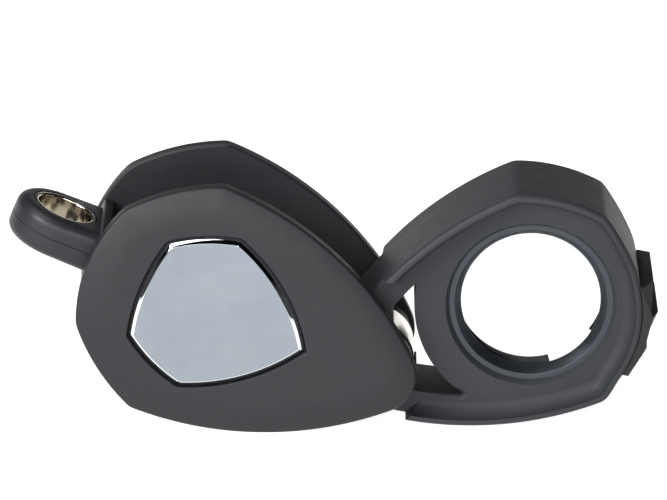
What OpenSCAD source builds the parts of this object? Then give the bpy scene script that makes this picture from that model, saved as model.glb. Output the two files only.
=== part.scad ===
// Folding jeweler loupe, standing on its edges, opened as for use.
// Each half is drawn lying flat: the pivot is at the origin, the wide end points along +X
// and +Z faces the viewer. stand_case() and stand_holder() then stand the halves up.

/* [Case outline] */
// Distance from the pivot to the widest part of the case
case_shoulder = 28; // [26:0.5:31]
// Half width of the case at its widest part
case_half = 16.5; // [15.5:0.5:19]
// Radius of the case's nose round the pivot
case_nose = 5.3; // [4.9:0.1:6.5]
// Distance from the pivot to the corners of the case's wide end
case_end = 38.8; // [38.5:0.1:42]
// Half width of the case's wide end
case_end_half = 8.5; // [7.5:0.5:10]
// How far the wide end bulges over its straight chord
case_end_rise = 1.7; // [1.2:0.1:2.4]
// How far each slanting flank bulges over its straight chord
case_flank_rise = 0.8; // [0.5:0.1:1.2]
// Slope of the case's axis against the table, in degrees
case_tilt = 22.7; // [18:0.1:26]

/* [Covers] */
// Gap between the two covers
gap = 15.4; // [14:0.2:17]
// Thickness of a cover at its edge
rim_t = 2.2; // [1.8:0.1:2.8]
// How much thicker a cover is in its middle
crown_rise = 0.8; // [0.4:0.1:1.2]
// Width of the sloping border of a cover
crown_w = 4.5; // [3:0.1:4.8]
// Rounding of a cover's outer edge
cover_round = 0.5; // [0.2:0.05:0.8]
// Chamfer of a cover's inner edge
cover_chamfer = 0.3; // [0.1:0.05:0.5]

/* [Lens holder outline] */
// Distance from the pivot to the widest part of the lens holder
holder_shoulder = 26; // [24:0.5:27]
// Half width of the lens holder at its widest part
holder_half = 15.5; // [14.8:0.1:16.2]
// Radius of the lens holder's hub round the pivot
holder_nose = 6; // [5.8:0.1:7]
// Distance from the pivot to the corners of the lens holder's far end
holder_end = 35.7; // [35:0.1:36.2]
// Half width of the lens holder's far end
holder_end_half = 8.3; // [7.8:0.1:9]
// How far the far end bulges over its straight chord
holder_end_rise = 1; // [0.7:0.1:1.3]
// How far each slanting flank of the lens holder bulges
holder_flank_rise = 0.8; // [0.5:0.1:1.1]
// Free space between the lens holder and each cover
side_clear = 0.2; // [0.15:0.05:0.4]

/* [Lens holder body] */
// Rounding of the lens holder's outer edges
lip_round = 0.7; // [0.3:0.1:1]
// Width of the flat crest of the raised lip
lip_crest = 0.2; // [0.2:0.1:0.8]
// Width of the hollow slope inside the lip
cove_w = 1.8; // [1:0.1:2.4]
// Depth of the face below the lip
lip_depth = 2.3; // [1.2:0.1:3]
// Radius round the pivot inside which the upper arm has no lip
hub_reach = 12; // [10:0.5:13]
// Radius round the pivot that the lower arm's lip leaves clear
hub_clear = 5.4; // [5.2:0.1:5.6]
// Distance from the pivot to the step in the outline
hub_seam = 0.8; // [0.4:0.1:1.5]
// How much the outline steps in near the pivot
hub_relief = 0.4; // [0.2:0.1:0.8]
// Thickness of the two arms beside the window
arm_w = 3.6; // [2.4:0.1:4]
// Wall of the lens barrel outside the lens cell
barrel_wall = 4.1; // [3:0.1:4.3]
// Depth of the slanting mouth in front of the lens cell
mouth_depth = 0.9; // [0.6:0.1:1.4]
// Overhang of the mouth over the lens cell
mouth_overhang = 0.5; // [0.3:0.1:0.8]

/* [Lens] */
// Distance from the pivot to the lens axis
lens_x = 22; // [21.5:0.1:22.5]
// Radius of the lens
lens_r = 10; // [9.4:0.1:10.4]
// Radius of the outer lens surfaces
outer_curve = 24; // [20:0.5:32]
// Radius of the cemented inner surfaces
inner_curve = 18; // [16:0.5:24]
// Edge thickness of the middle lens
middle_edge = 0.9; // [0.6:0.1:1.4]
// Thickness of each outer lens on the lens axis
outer_middle = 1.5; // [1.2:0.1:1.8]
// Thickness of a cement layer
cement = 0.03; // [0.02:0.01:0.05]
// Distance of the lens centre behind the middle of the holder
lens_back = 0.5; // [0.2:0.1:0.7]

/* [Lens cell] */
// Wall of the lens cell
cell_wall = 1.1; // [0.9:0.1:1.4]
// Radial play between lens and cell, and between cell and holder
cell_fit = 0.05; // [0.03:0.01:0.08]
// Width of the seat that holds the lens edge
seat_w = 0.85; // [0.6:0.05:1.2]
// Height of the straight land on the seat
seat_land = 0.25; // [0.15:0.05:0.4]
// Width of the slope in front of the seat
throat_w = 0.85; // [0.5:0.05:1]
// Thickness of the stop ring behind the lens
stop_t = 0.5; // [0.4:0.1:0.6]
// Width of the stop ring
stop_w = 0.4; // [0.3:0.1:1.2]
// Thickness of the split retaining ring
snap_t = 0.6; // [0.5:0.05:0.7]
// How far the retaining ring sits inside its groove
snap_bite = 0.5; // [0.3:0.1:0.6]
// How far the retaining ring reaches inside the cell's bore
snap_reach = 1.4; // [0.4:0.1:1.5]
// Opening of the split retaining ring, in degrees
snap_gap = 38; // [20:1:60]
// Direction of that opening on the holder, in degrees
snap_turn = -79; // [-120:1:-40]

/* [Thumb grip] */
// Sideways place of the first rib's crest
rib_start = -2.7; // [-3.2:0.1:-2.4]
// Distance from one rib to the next
rib_pitch = 4.2; // [4:0.1:4.5]
// How far a rib's steep side leans
rib_lean = 0.25; // [0.15:0.05:0.4]
// Height of the first rib over the far end
rib_1 = 1.5; // [1.2:0.1:1.8]
// Height of the second rib over the far end
rib_2 = 1.1; // [0.8:0.1:1.4]
// Height of the third rib over the flank
rib_3 = 0.8; // [0.6:0.1:1.1]
// Length of the grip's base through the holder's thickness
grip_len = 14.6; // [12:0.2:14.8]
// Length of a rib's crest
rib_len = 11.2; // [8:0.2:12]
// Depth at which the bevel of the ribs' ends starts
bevel_start = 0.1; // [0.05:0.05:0.3]
// Depth of the grip's seat below the far end
grip_seat = 0.9; // [0.7:0.1:1.2]

/* [Pivot] */
// Radius of the pivot pin
pin_r = 2.5; // [2:0.1:2.8]
// Running play round the pin, on the radius
pin_fit = 0.05; // [0.02:0.01:0.08]
// Outer radius of the metal bush
bush_r = 5.1; // [4.6:0.1:5.2]
// Length of the metal bush
bush_len = 7; // [6:0.2:8]
// Free space between the bosses and the hub's bore
boss_clear = 0.35; // [0.3:0.05:0.6]
// Thickness of the front thrust washer
washer_t = 0.5; // [0.3:0.1:0.8]
// Height of the spring washer when it is pressed
spring_t = 0.8; // [0.6:0.1:1]
// End play at each washer face
end_play = 0.02; // [0.01:0.01:0.03]
// Depth of the pin's blind hole in the front cover
pin_sink = 1.6; // [1:0.1:1.8]
// Half height of the opening that shows the bush
bush_window = 3.9; // [3:0.1:4.4]
// Thread radius of the pivot screw
pivot_screw_r = 1; // [0.8:0.1:1.2]
// Head radius of the pivot screw
pivot_head_r = 2.2; // [1.8:0.1:2.4]
// Length of the pivot screw's thread
pivot_screw_len = 5; // [4:0.5:7]

/* [End block and loop] */
// Reach of the end block from the case's axis, away from the thumb grip
block_half = 6.2; // [6:0.1:7]
// Reach of the end block from the case's axis, on the thumb grip's side
block_top = 3.4; // [3:0.1:4]
// How far the end block stands back from the covers' edges
block_back = 0.15; // [0.1:0.05:0.4]
// Free space between the closed lens holder and the end block
block_clear = 0.4; // [0.3:0.1:0.6]
// Distance from the case's wide end to the loop's hole
loop_x = 6.3; // [6.2:0.1:8]
// Radius of the loop's round end
loop_r = 6.3; // [5.9:0.1:6.6]
// Thickness of the loop at its tip
loop_tip_t = 5.4; // [5:0.1:5.8]
// Thickness of the loop at the case
loop_root_t = 5.6; // [5:0.1:6]
// Rounding of the loop's edges
loop_round = 1.4; // [0.8:0.1:1.7]

/* [Eyelet] */
// Radius of the eyelet's hole
eyelet_r = 3.7; // [3.4:0.1:3.8]
// Wall of the eyelet's tube
eyelet_wall = 0.35; // [0.25:0.05:0.4]
// Radius of the eyelet's flange
flange_r = 4.4; // [4.2:0.1:4.6]
// Thickness of the eyelet's flange and of its washer
flange_t = 0.35; // [0.25:0.05:0.5]
// Thickness of the loop between flange and washer
eyelet_grip = 4.6; // [4.2:0.1:4.9]
// Radius of the rolled rim over the washer
roll_r = 4.25; // [4.15:0.05:4.3]
// Play between the eyelet and the loop
eyelet_fit = 0.05; // [0.03:0.01:0.1]

/* [Name plate] */
// Distance from the pivot to the plate's point
plate_point = 9.9; // [9:0.1:12]
// Distance from the pivot to the plate's widest part
plate_shoulder = 23.4; // [22:0.1:25]
// Half width of the plate
plate_half = 11; // [9:0.1:11.5]
// Distance from the pivot to the corners of the plate's wide end
plate_end = 32.1; // [30:0.1:32.6]
// Half width of the plate's wide end
plate_end_half = 7; // [6:0.1:8]
// How far the plate's long sides bulge
plate_side_rise = 1.5; // [1:0.1:2]
// How far the plate's short sides bulge
plate_flank_rise = 0.55; // [0.4:0.05:0.8]
// How far the plate's wide end bulges
plate_end_rise = 0.9; // [0.6:0.1:1.2]
// Thickness of the plate
plate_t = 1.05; // [0.9:0.05:1.3]
// Depth of the plate's pocket in the front cover
pocket_depth = 0.85; // [0.7:0.05:1]
// Thickness of the adhesive sheet under the plate
glue_t = 0.1; // [0.05:0.05:0.2]
// Gap round the plate
plate_gap = 0.15; // [0.1:0.05:0.3]
// Width and height of the plate's polished bevel
bevel = 0.8; // [0.3:0.05:0.9]

/* [Case screws] */
// Thread radius of the case screws
screw_r = 0.7; // [0.6:0.05:0.75]
// Head radius of the case screws
screw_head_r = 1.1; // [1:0.05:1.15]
// Distance of the case screws from the end block's inner face
screw_in = 1.2; // [1.1:0.05:1.3]
// Sideways place of the first screw
screw_y1 = 1.6; // [1:0.1:2]
// Sideways distance between the two screws
screw_pitch = 3.3; // [3:0.1:3.5]
// Play of the screws in their holes
screw_fit = 0.05; // [0.03:0.01:0.1]
// Radius of the threaded inserts
insert_r = 1.1; // [1:0.05:1.2]
// Length of the threaded inserts
insert_len = 1.7; // [1.4:0.1:1.9]

/* [Hidden] */
$fn = 120;
// Overrun of a cut past the faces that it goes through
over = 1;
// Length that reaches past the whole loupe
big = 60;
// Depth below an outline arc at which its own side starts
guard_depth = 9;
// Distance from the pivot at which the nose's sector starts
sector_start = 1.3;
// Height of the nose's seam below the side arcs, which keeps the two faces distinct
seam_step = 0.01;
// Places along the flank: the third rib's crest and root in rib pitches, the last root in lengths
crest_share = 0.75;
root_share = 0.43;
last_share = 0.6;
// Thickness left between the pin's rear end and the screw head's seat
pin_stop = 0.6;
// Width of a small step, and of the curl on the rolled rim's edge
small_step = 0.1;

case_z = gap / 2;
holder_z = case_z - side_clear;
web_z = holder_z - lip_depth;
face_z = case_z + rim_t + crown_rise;
plate_top = face_z - pocket_depth + glue_t + plate_t;

cell_r = lens_r + cell_fit + cell_wall;
bore_r = cell_r + cell_fit;
barrel_r = bore_r + barrel_wall;

// Radius of a side arc that runs parallel to the axis at the shoulder and touches the nose
function side_radius(shoulder, half, nose) =
    (shoulder * shoulder + half * half - nose * nose) / (2 * (half - nose));

// Radius of the arc over a chord of this length that rises this far
function rise_radius(chord, rise) = (chord * chord / 4 + rise * rise) / (2 * rise);

// An arc is its centre, its radius, its outward direction and where its own side starts
function risen_arc(p, q, rise) =
    let (d = (q - p) / norm(q - p), out = [d.y, -d.x], r = rise_radius(norm(q - p), rise))
    [(p + q) / 2 - out * (r - rise), r, out, r - rise - guard_depth];

function side_arc(shoulder, half, nose, hand) =
    let (r = side_radius(shoulder, half, nose))
    [[shoulder, hand * (half - r)], r, [0, hand], half - r];

// The arcs of a case-shaped outline without its nose: two long sides, flank, end and flank
function pick_arcs(shoulder, half, nose, end, end_half, flank_rise, end_rise) = [
    side_arc(shoulder, half, nose, 1),
    side_arc(shoulder, half, nose, -1),
    risen_arc([shoulder, -half], [end, -end_half], flank_rise),
    risen_arc([end, -end_half], [end, end_half], end_rise),
    risen_arc([end, end_half], [shoulder, half], flank_rise)];

case_arcs = pick_arcs(case_shoulder, case_half, case_nose, case_end, case_end_half,
                      case_flank_rise, case_end_rise);
holder_arcs = pick_arcs(holder_shoulder, holder_half, holder_nose, holder_end,
                        holder_end_half, holder_flank_rise, holder_end_rise);
plate_arcs = [
    risen_arc([plate_shoulder, plate_half], [plate_point, 0], plate_side_rise),
    risen_arc([plate_point, 0], [plate_shoulder, -plate_half], plate_side_rise),
    risen_arc([plate_shoulder, -plate_half], [plate_end, -plate_end_half], plate_flank_rise),
    risen_arc([plate_end, -plate_end_half], [plate_end, plate_end_half], plate_end_rise),
    risen_arc([plate_end, plate_end_half], [plate_shoulder, plate_half], plate_flank_rise)];

// Both halves touch the table with their long lower arcs
case_side_r = side_radius(case_shoulder, case_half, case_nose);
holder_side_r = side_radius(holder_shoulder, holder_half, holder_nose);
case_angle = 180 - case_tilt;
pivot_height = case_side_r - sin(case_angle) * case_shoulder
    - cos(case_angle) * (case_half - case_side_r);
holder_rise = [holder_shoulder, holder_side_r - holder_half];
holder_tilt = atan2(holder_rise.x, holder_rise.y)
    - acos((holder_side_r - pivot_height) / norm(holder_rise));

// Points on the far end and the flank of the holder where the ribs stand
function end_x(y) = let (a = holder_arcs[3]) a[0].x + sqrt(a[1] * a[1] - y * y);
flank_p = [holder_shoulder, -holder_half];
flank_q = [holder_end, -holder_end_half];
flank_dir = (flank_q - flank_p) / norm(flank_q - flank_p);
flank_out = [-flank_dir.y, flank_dir.x] * -1;
function flank_at(s, h) = flank_q - flank_dir * s + flank_out * h;
crest_1 = [end_x(rib_start) + rib_1, rib_start];
crest_2 = [end_x(rib_start - rib_pitch) + rib_2, rib_start - rib_pitch];
crest_3 = flank_at(rib_pitch * crest_share, rib_3 + holder_flank_rise / 2);
root_0 = [end_x(rib_start), rib_start + rib_lean];
root_1 = [end_x(rib_start - rib_pitch) + rib_2 / 4, rib_start - rib_pitch + rib_lean];
root_2 = flank_at(rib_pitch * root_share, rib_3 / 3);
root_3 = flank_at(norm(flank_q - flank_p) * last_share, holder_flank_rise);
seat_x = holder_end + holder_end_rise - grip_seat;
seat_top = [seat_x, root_0.y];
seat_corner = [seat_x, -holder_end_half + (holder_end - seat_x) / 2];
seat_low = flank_at(norm(flank_q - flank_p) * last_share, -rib_lean);

block_in = holder_end + holder_end_rise + block_clear;
block_thin_in = norm(crest_1) + block_clear;
block_step = root_0.y + rib_lean;
end_arc = case_arcs[3];
loop_centre = case_end + loop_x;
loop_root_x = block_thin_in + loop_round + small_step;
screw_x = block_in + screw_in;

// Places along the pin: the bush is in the middle, a washer and a boss on each side
bush_z = bush_len / 2;
front_boss_z = bush_z + washer_t + 2 * end_play;
rear_boss_z = bush_z + spring_t + 2 * end_play;
boss_r = bush_r - boss_clear;
washer_r = boss_r - small_step;
pin_front = case_z + pin_sink;
head_h = pivot_head_r - pivot_screw_r;
head_floor = face_z - head_h;
pin_rear = head_floor - pin_stop;

// The lens is centred on its own middle plane
middle_half = middle_edge / 2 + inner_curve - sqrt(inner_curve * inner_curve - lens_r * lens_r);
lens_half = middle_half + cement + outer_middle;
seat_edge = lens_half - outer_curve + sqrt(outer_curve * outer_curve - pow(lens_r - seat_w, 2));
stop_edge = lens_half - outer_curve + sqrt(outer_curve * outer_curve - pow(lens_r - stop_w, 2));
lens_z = -lens_back;
seat_z = lens_z + seat_edge + cell_fit;
cell_front = web_z - mouth_depth;
stop_z = lens_z - stop_edge - cell_fit;
snap_z = stop_z - stop_t - cell_fit;

// The loupe is centred between its left and right ends and its front and rear faces
tip_flat = loop_r - loop_round;
reach_left = (loop_centre + tip_flat) * cos(case_tilt)
    + (loop_tip_t / 2 - loop_round) * sin(case_tilt) + loop_round;
reach_right = max([for (p = [crest_1, crest_2, crest_3])
    p.x * cos(holder_tilt) - p.y * sin(holder_tilt)]);
pivot_place = [(reach_left - reach_right) / 2, (plate_top - face_z) / 2, pivot_height];

module stand_case() {
    translate(pivot_place) rotate([90, 0, 0]) rotate([0, 0, case_angle]) children();
}

module stand_holder() {
    translate(pivot_place) rotate([90, 0, 0]) rotate([0, 0, holder_tilt]) children();
}

// A profile is a list of [inset from the outline, height], from the lowest to the highest
module revolve(r, prof) {
    rotate_extrude()
        polygon(concat([[0, prof[0].y]],
                       [for (p = prof) [max(r - p.x, 0.05), p.y]],
                       [[0, prof[len(prof) - 1].y]]));
}

module arc_disc(arc, prof) {
    translate([arc[0].x, arc[0].y, 0]) revolve(arc[1], prof);
}

// Everything outside an arc, on its own side of the outline
module arc_outside(arc, prof) {
    first = prof[0];
    last = prof[len(prof) - 1];
    low = first.y - over;
    high = last.y + over;
    difference() {
        translate([arc[0].x, arc[0].y, 0]) rotate([0, 0, atan2(arc[2].y, arc[2].x)])
            translate([arc[3], -big, low]) cube([big, 2 * big, high - low]);
        arc_disc(arc, concat([[first.x, low - over]], prof, [[last.x, high + over]]));
    }
}

// The sector behind the pivot in which the nose takes over from the side arcs
module nose_sector(arc, low, high) {
    away = -arc[0] / norm(arc[0]);
    near = away * sector_start;
    translate([0, 0, low]) linear_extrude(height = high - low)
        polygon([near, away * big, [away.x * big, -away.y * big], [near.x, -near.y]]);
}

// A solid whose outline is the five arcs, and whose wall follows the profile
module arcs_solid(arcs, prof) {
    difference() {
        intersection() {
            arc_disc(arcs[0], prof);
            arc_disc(arcs[1], prof);
        }
        arc_outside(arcs[2], prof);
        arc_outside(arcs[3], prof);
        arc_outside(arcs[4], prof);
    }
}

// The same with the round nose at its narrow end
module pick_solid(arcs, nose, prof) {
    low = prof[0].y;
    high = prof[len(prof) - 1].y;
    difference() {
        arcs_solid(arcs, prof);
        if (nose > 0) nose_sector(arcs[0], low - over, high + over);
    }
    if (nose > 0) intersection() {
        revolve(nose - seam_step, prof);
        nose_sector(arcs[0], low - over, high + over);
    }
}

// A round hole or peg along Z
module peg(r, low, high) {
    translate([0, 0, low]) cylinder(r = r, h = high - low);
}

cover_profile = concat(
    [[cover_chamfer, case_z], [0, case_z + cover_chamfer]],
    [for (a = [0 : 30 : 90])
        [cover_round * (1 - cos(a)), case_z + rim_t - cover_round * (1 - sin(a))]],
    [for (k = [0.2 : 0.2 : 1])
        [cover_round + (crown_w - cover_round) * k,
         case_z + rim_t + crown_rise * (1 - pow(1 - k, 2))]]);

module cover_shell(boss_end) {
    pick_solid(case_arcs, case_nose, cover_profile);
    peg(boss_r, boss_end, case_z + over);
}

module screw_places() {
    for (k = [0, 1]) translate([screw_x, screw_y1 + screw_pitch * k, 0]) children();
}

module front_cover() {
    color([0.26, 0.27, 0.29]) stand_case() difference() {
        cover_shell(front_boss_z);
        peg(pin_r + pin_fit, front_boss_z - over, pin_front);
        pick_solid(plate_arcs, 0,
                   [[-plate_gap, face_z - pocket_depth], [-plate_gap, face_z + over]]);
        screw_places() peg(insert_r + screw_fit, case_z - over, case_z + insert_len);
    }
}

module rear_cover() {
    color([0.24, 0.25, 0.27]) stand_case() difference() {
        mirror([0, 0, 1]) cover_shell(rear_boss_z);
        peg(pin_r + pin_fit, -pin_rear, -rear_boss_z + over);
        peg(pivot_screw_r + screw_fit, -face_z - over, -pin_rear + over);
        translate([0, 0, -face_z - over])
            cylinder(r1 = pivot_head_r + screw_fit + over, r2 = pivot_screw_r + screw_fit,
                     h = head_h + over);
        screw_places() {
            peg(screw_r + screw_fit, -face_z - over, -case_z + over);
            peg(screw_head_r + screw_fit, -face_z - over, -case_z - rim_t / 2);
        }
    }
}

// The loop's body is widest at the case and thins towards its round tip
module loop_body() {
    hull() {
        translate([loop_centre, 0, 0]) rotate([90, 0, 0]) rounded_puck(loop_r, loop_tip_t);
        for (s = [-1, 1], t = [-1, 1])
            translate([loop_root_x, s * (loop_root_t / 2 - loop_round),
                       t * (loop_r - loop_round)])
                sphere(r = loop_round, $fn = 32);
    }
}

module rounded_puck(r, t) {
    rotate_extrude($fn = 64)
        polygon(concat([[0, -t / 2]],
            [for (a = [-90 : 22.5 : 0])
                [r - loop_round + loop_round * cos(a), -t / 2 + loop_round * (1 + sin(a))]],
            [for (a = [0 : 22.5 : 90])
                [r - loop_round + loop_round * cos(a), t / 2 - loop_round * (1 - sin(a))]],
            [[0, t / 2]]));
}

module end_block() {
    color([0.29, 0.31, 0.35]) stand_case() difference() {
        union() {
            intersection() {
                translate([end_arc[0].x, 0, 0])
                    peg(end_arc[1] - block_back, -case_z, case_z);
                difference() {
                    translate([block_in, -block_top, -case_z])
                        cube([big, block_top + block_half, gap]);
                    translate([block_in - over, -block_half - over, -case_z - over])
                        cube([block_thin_in - block_in + over,
                              block_half + over + block_step, gap + 2 * over]);
                }
            }
            loop_body();
        }
        translate([loop_centre, 0, 0]) rotate([90, 0, 0]) {
            peg(eyelet_r + eyelet_wall + eyelet_fit, -big, big);
            peg(flange_r + eyelet_fit, eyelet_grip / 2, loop_root_t);
            peg(flange_r + eyelet_fit, -loop_root_t, -eyelet_grip / 2);
        }
        screw_places() peg(screw_r + screw_fit, -case_z - over, case_z + over);
    }
}

// Stands an eyelet piece in the loop, its flange on the side that faces up
module in_loop() {
    stand_case() translate([loop_centre, 0, 0]) rotate([90, 0, 0]) children();
}

module loop_eyelet() {
    top = eyelet_grip / 2 + flange_t;
    bottom = -eyelet_grip / 2 - 2 * flange_t;
    tube_r = eyelet_r + eyelet_wall;
    color([0.72, 0.68, 0.6]) in_loop() rotate_extrude()
        polygon([[eyelet_r, bottom], [roll_r - small_step, bottom], [roll_r, bottom + flange_t / 2],
                 [roll_r - small_step, bottom + flange_t - end_play],
                 [tube_r, bottom + flange_t - end_play],
                 [tube_r, eyelet_grip / 2], [flange_r, eyelet_grip / 2],
                 [flange_r, top - flange_t / 2], [flange_r - flange_t / 2, top],
                 [eyelet_r, top]]);
}

module eyelet_washer() {
    color([0.7, 0.67, 0.6]) in_loop() difference() {
        peg(flange_r, -eyelet_grip / 2 - flange_t, -eyelet_grip / 2);
        peg(eyelet_r + eyelet_wall + eyelet_fit, -big, 0);
    }
}

module name_plate() {
    low = plate_top - plate_t;
    color([0.72, 0.75, 0.79]) stand_case()
        pick_solid(plate_arcs, 0, [[0, low], [0, plate_top - bevel], [bevel, plate_top]]);
}

module plate_adhesive() {
    low = face_z - pocket_depth;
    color([0.85, 0.85, 0.8]) stand_case()
        pick_solid(plate_arcs, 0, [[bevel, low], [bevel, low + glue_t]]);
}

module pivot_pin() {
    color([0.75, 0.75, 0.76]) stand_case() difference() {
        peg(pin_r, -pin_rear, pin_front);
        peg(pivot_screw_r + pin_fit, -pin_rear - over, -face_z + pivot_screw_len + head_h + over / 2);
    }
}

module pivot_screw() {
    color([0.6, 0.6, 0.62]) stand_case() difference() {
        union() {
            translate([0, 0, -face_z])
                cylinder(r1 = pivot_head_r, r2 = pivot_screw_r, h = head_h);
            peg(pivot_screw_r, -face_z + head_h / 2, -face_z + head_h + pivot_screw_len);
        }
        translate([-pivot_head_r, -pivot_screw_r / 4, -face_z - over])
            cube([2 * pivot_head_r, pivot_screw_r / 2, over + head_h / 3]);
    }
}

module thrust_washer() {
    color([0.2, 0.2, 0.21]) stand_case() difference() {
        peg(washer_r, bush_z + end_play, bush_z + end_play + washer_t);
        peg(pin_r + pin_fit, 0, big);
    }
}

module spring_washer() {
    color([0.7, 0.69, 0.65]) stand_case() difference() {
        peg(washer_r, -bush_z - end_play - spring_t, -bush_z - end_play);
        peg(pin_r + pin_fit, -big, 0);
    }
}

module case_screws() {
    head_top = case_z + rim_t / 2;
    color([0.45, 0.45, 0.47]) stand_case() screw_places() difference() {
        union() {
            peg(screw_r, -head_top, case_z + insert_len - screw_fit);
            peg(screw_head_r, -head_top - rim_t / 3, -head_top);
        }
        translate([-screw_head_r, -screw_r / 4, -head_top - rim_t])
            cube([2 * screw_head_r, screw_r / 2, rim_t * 0.8]);
    }
}

module threaded_inserts() {
    color([0.75, 0.62, 0.35]) stand_case() screw_places() difference() {
        peg(insert_r, case_z + end_play, case_z + insert_len);
        peg(screw_r + screw_fit, case_z - over, case_z + insert_len + over);
    }
}

// The holder's outer wall with both edges rounded, between two heights
function rounded_wall(inset, half_t) = concat(
    [for (a = [90 : -30 : 0])
        [inset + lip_round * (1 - cos(a)), -half_t + lip_round * (1 - sin(a))]],
    [for (a = [0 : 30 : 90])
        [inset + lip_round * (1 - cos(a)), half_t - lip_round * (1 - sin(a))]]);

// The hollow inside the lip: steep under the crest, flat on the web
cove_profile = concat(
    [for (a = [90 : -18 : 18])
        [lip_round + lip_crest + cove_w * (1 - cos(a)), holder_z - lip_depth * sin(a)]],
    [[lip_round + lip_crest, holder_z + over]]);

module window_cut() {
    depth = holder_z + over;
    difference() {
        pick_solid(holder_arcs, holder_nose, [[arm_w, -depth], [arm_w, depth]]);
        translate([lens_x, 0, 0]) peg(barrel_r, -depth - over, depth + over);
        translate([lens_x, -big, -depth - over]) cube([big, 2 * big, 2 * (depth + over)]);
        peg(holder_nose, -depth - over, depth + over);
        translate([-big, -big, -depth - over]) cube([big, 2 * big, 2 * (depth + over)]);
    }
    translate([0, -bush_window, -depth]) cube([holder_nose + over / 2, 2 * bush_window, 2 * depth]);
}

// The space on the hub's side of the step in the outline
module hub_side() {
    translate([hub_seam - 2 * big, -big, -big]) cube([2 * big, 2 * big, 2 * big]);
}

module holder_frame() {
    color([0.34, 0.35, 0.37]) stand_holder() difference() {
        union() {
            difference() {
                arcs_solid(holder_arcs, rounded_wall(0, holder_z));
                hub_side();
                for (s = [0, 1]) mirror([0, 0, s]) {
                    arcs_solid(holder_arcs, cove_profile);
                    peg(hub_clear, web_z, big);
                    intersection() {
                        peg(hub_reach, web_z, big);
                        translate([-big, 0, -big]) cube([2 * big, big, 2 * big]);
                    }
                }
            }
            intersection() {
                pick_solid(holder_arcs, holder_nose, [[hub_relief, -web_z], [hub_relief, web_z]]);
                hub_side();
            }
        }
        window_cut();
        peg(bush_r + end_play, -big, big);
        translate([lens_x, 0, 0]) rotate_extrude()
            polygon([[0, -big], [bore_r, -big], [bore_r, cell_front + end_play],
                     [bore_r - mouth_overhang, cell_front + end_play],
                     [bore_r + mouth_overhang, web_z + mouth_depth], [0, web_z + mouth_depth]]);
        linear_extrude(height = big, center = true)
            polygon([seat_top, seat_corner, seat_low, seat_low + flank_out * big,
                     [big, seat_corner.y], [big, seat_top.y]]);
    }
}

// Takes off the corners of the ribs' ends: dir points out of the holder
module end_bevel(at, dir, rise) {
    low = grip_len / 2 - bevel_start;
    for (s = [0, 1]) mirror([0, 0, s])
        translate([at.x, at.y, 0]) rotate([0, 0, atan2(dir.y, dir.x)]) rotate([90, 0, 0])
            linear_extrude(height = big, center = true)
                polygon([[0, low + over], [0, low], [rise, rib_len / 2],
                         [2 * rise, rib_len - low], [2 * rise, low + over]]);
}

module thumb_grip() {
    color([0.2, 0.19, 0.18]) stand_holder() difference() {
        linear_extrude(height = grip_len, center = true)
            polygon([seat_top, seat_corner, seat_low, root_3, crest_3, root_2,
                     crest_2, root_1, crest_1, root_0]);
        end_bevel(root_1, [1, 0], crest_1.x - root_1.x);
        end_bevel(root_3, flank_out, (crest_3 - root_3) * flank_out);
    }
}

module pivot_bush() {
    color([0.78, 0.76, 0.7]) stand_holder() difference() {
        peg(bush_r, -bush_z, bush_z);
        peg(pin_r + pin_fit, -big, big);
    }
}

module on_lens_axis() {
    stand_holder() translate([lens_x, 0, 0]) children();
}

module lens_cell() {
    rear = -web_z;
    clear_r = lens_r - seat_w;
    inner = lens_r + cell_fit;
    groove = snap_z - snap_t - cell_fit;
    color([0.3, 0.31, 0.33]) on_lens_axis() rotate_extrude()
        polygon([[cell_r, rear], [cell_r, cell_front], [clear_r + throat_w, cell_front],
                 [clear_r, seat_z + seat_land], [clear_r, seat_z], [inner, seat_z],
                 [inner, snap_z + cell_fit], [inner + snap_bite, snap_z + cell_fit],
                 [inner + snap_bite, groove], [inner, groove], [inner, rear]]);
}

// A spherical cap's height at the radius of the lens
function sag(curve) = curve - sqrt(curve * curve - lens_r * lens_r);

// A cap of a sphere that rises to the height top on the lens axis
module ball_under(curve, top) {
    translate([0, 0, top - curve]) sphere(r = curve, $fn = 180);
}

module middle_lens() {
    color([0.85, 0.92, 0.95, 0.4]) on_lens_axis() translate([0, 0, lens_z])
        intersection() {
            peg(lens_r, -middle_half, middle_half);
            ball_under(inner_curve, middle_half);
            mirror([0, 0, 1]) ball_under(inner_curve, middle_half);
        }
}

module outer_lens() {
    edge_low = middle_half - sag(inner_curve) + cement;
    intersection() {
        difference() {
            peg(lens_r, edge_low, lens_half);
            ball_under(inner_curve, middle_half + cement);
        }
        ball_under(outer_curve, lens_half);
    }
}

module front_lens() {
    color([0.8, 0.88, 0.92, 0.4]) on_lens_axis() translate([0, 0, lens_z]) outer_lens();
}

module rear_lens() {
    color([0.8, 0.88, 0.92, 0.4]) on_lens_axis() translate([0, 0, lens_z])
        mirror([0, 0, 1]) outer_lens();
}

module stop_ring() {
    color([0.1, 0.1, 0.1]) on_lens_axis() difference() {
        peg(lens_r, stop_z - stop_t, stop_z);
        peg(lens_r - stop_w, -big, big);
    }
}

module retaining_ring() {
    inner = lens_r + cell_fit;
    color([0.15, 0.15, 0.15]) on_lens_axis() rotate([0, 0, snap_turn]) difference() {
        peg(inner + snap_bite - cell_fit, snap_z - snap_t, snap_z);
        peg(inner - snap_reach, -big, big);
        translate([0, 0, -big / 2]) linear_extrude(height = big)
            polygon([[0, 0], big * [cos(snap_gap / 2), sin(snap_gap / 2)],
                     big * [cos(snap_gap / 2), -sin(snap_gap / 2)]]);
    }
}

front_cover();
rear_cover();
end_block();
loop_eyelet();
eyelet_washer();
name_plate();
plate_adhesive();
pivot_pin();
pivot_screw();
thrust_washer();
spring_washer();
case_screws();
threaded_inserts();
holder_frame();
thumb_grip();
pivot_bush();
lens_cell();
front_lens();
middle_lens();
rear_lens();
stop_ring();
retaining_ring();
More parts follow.
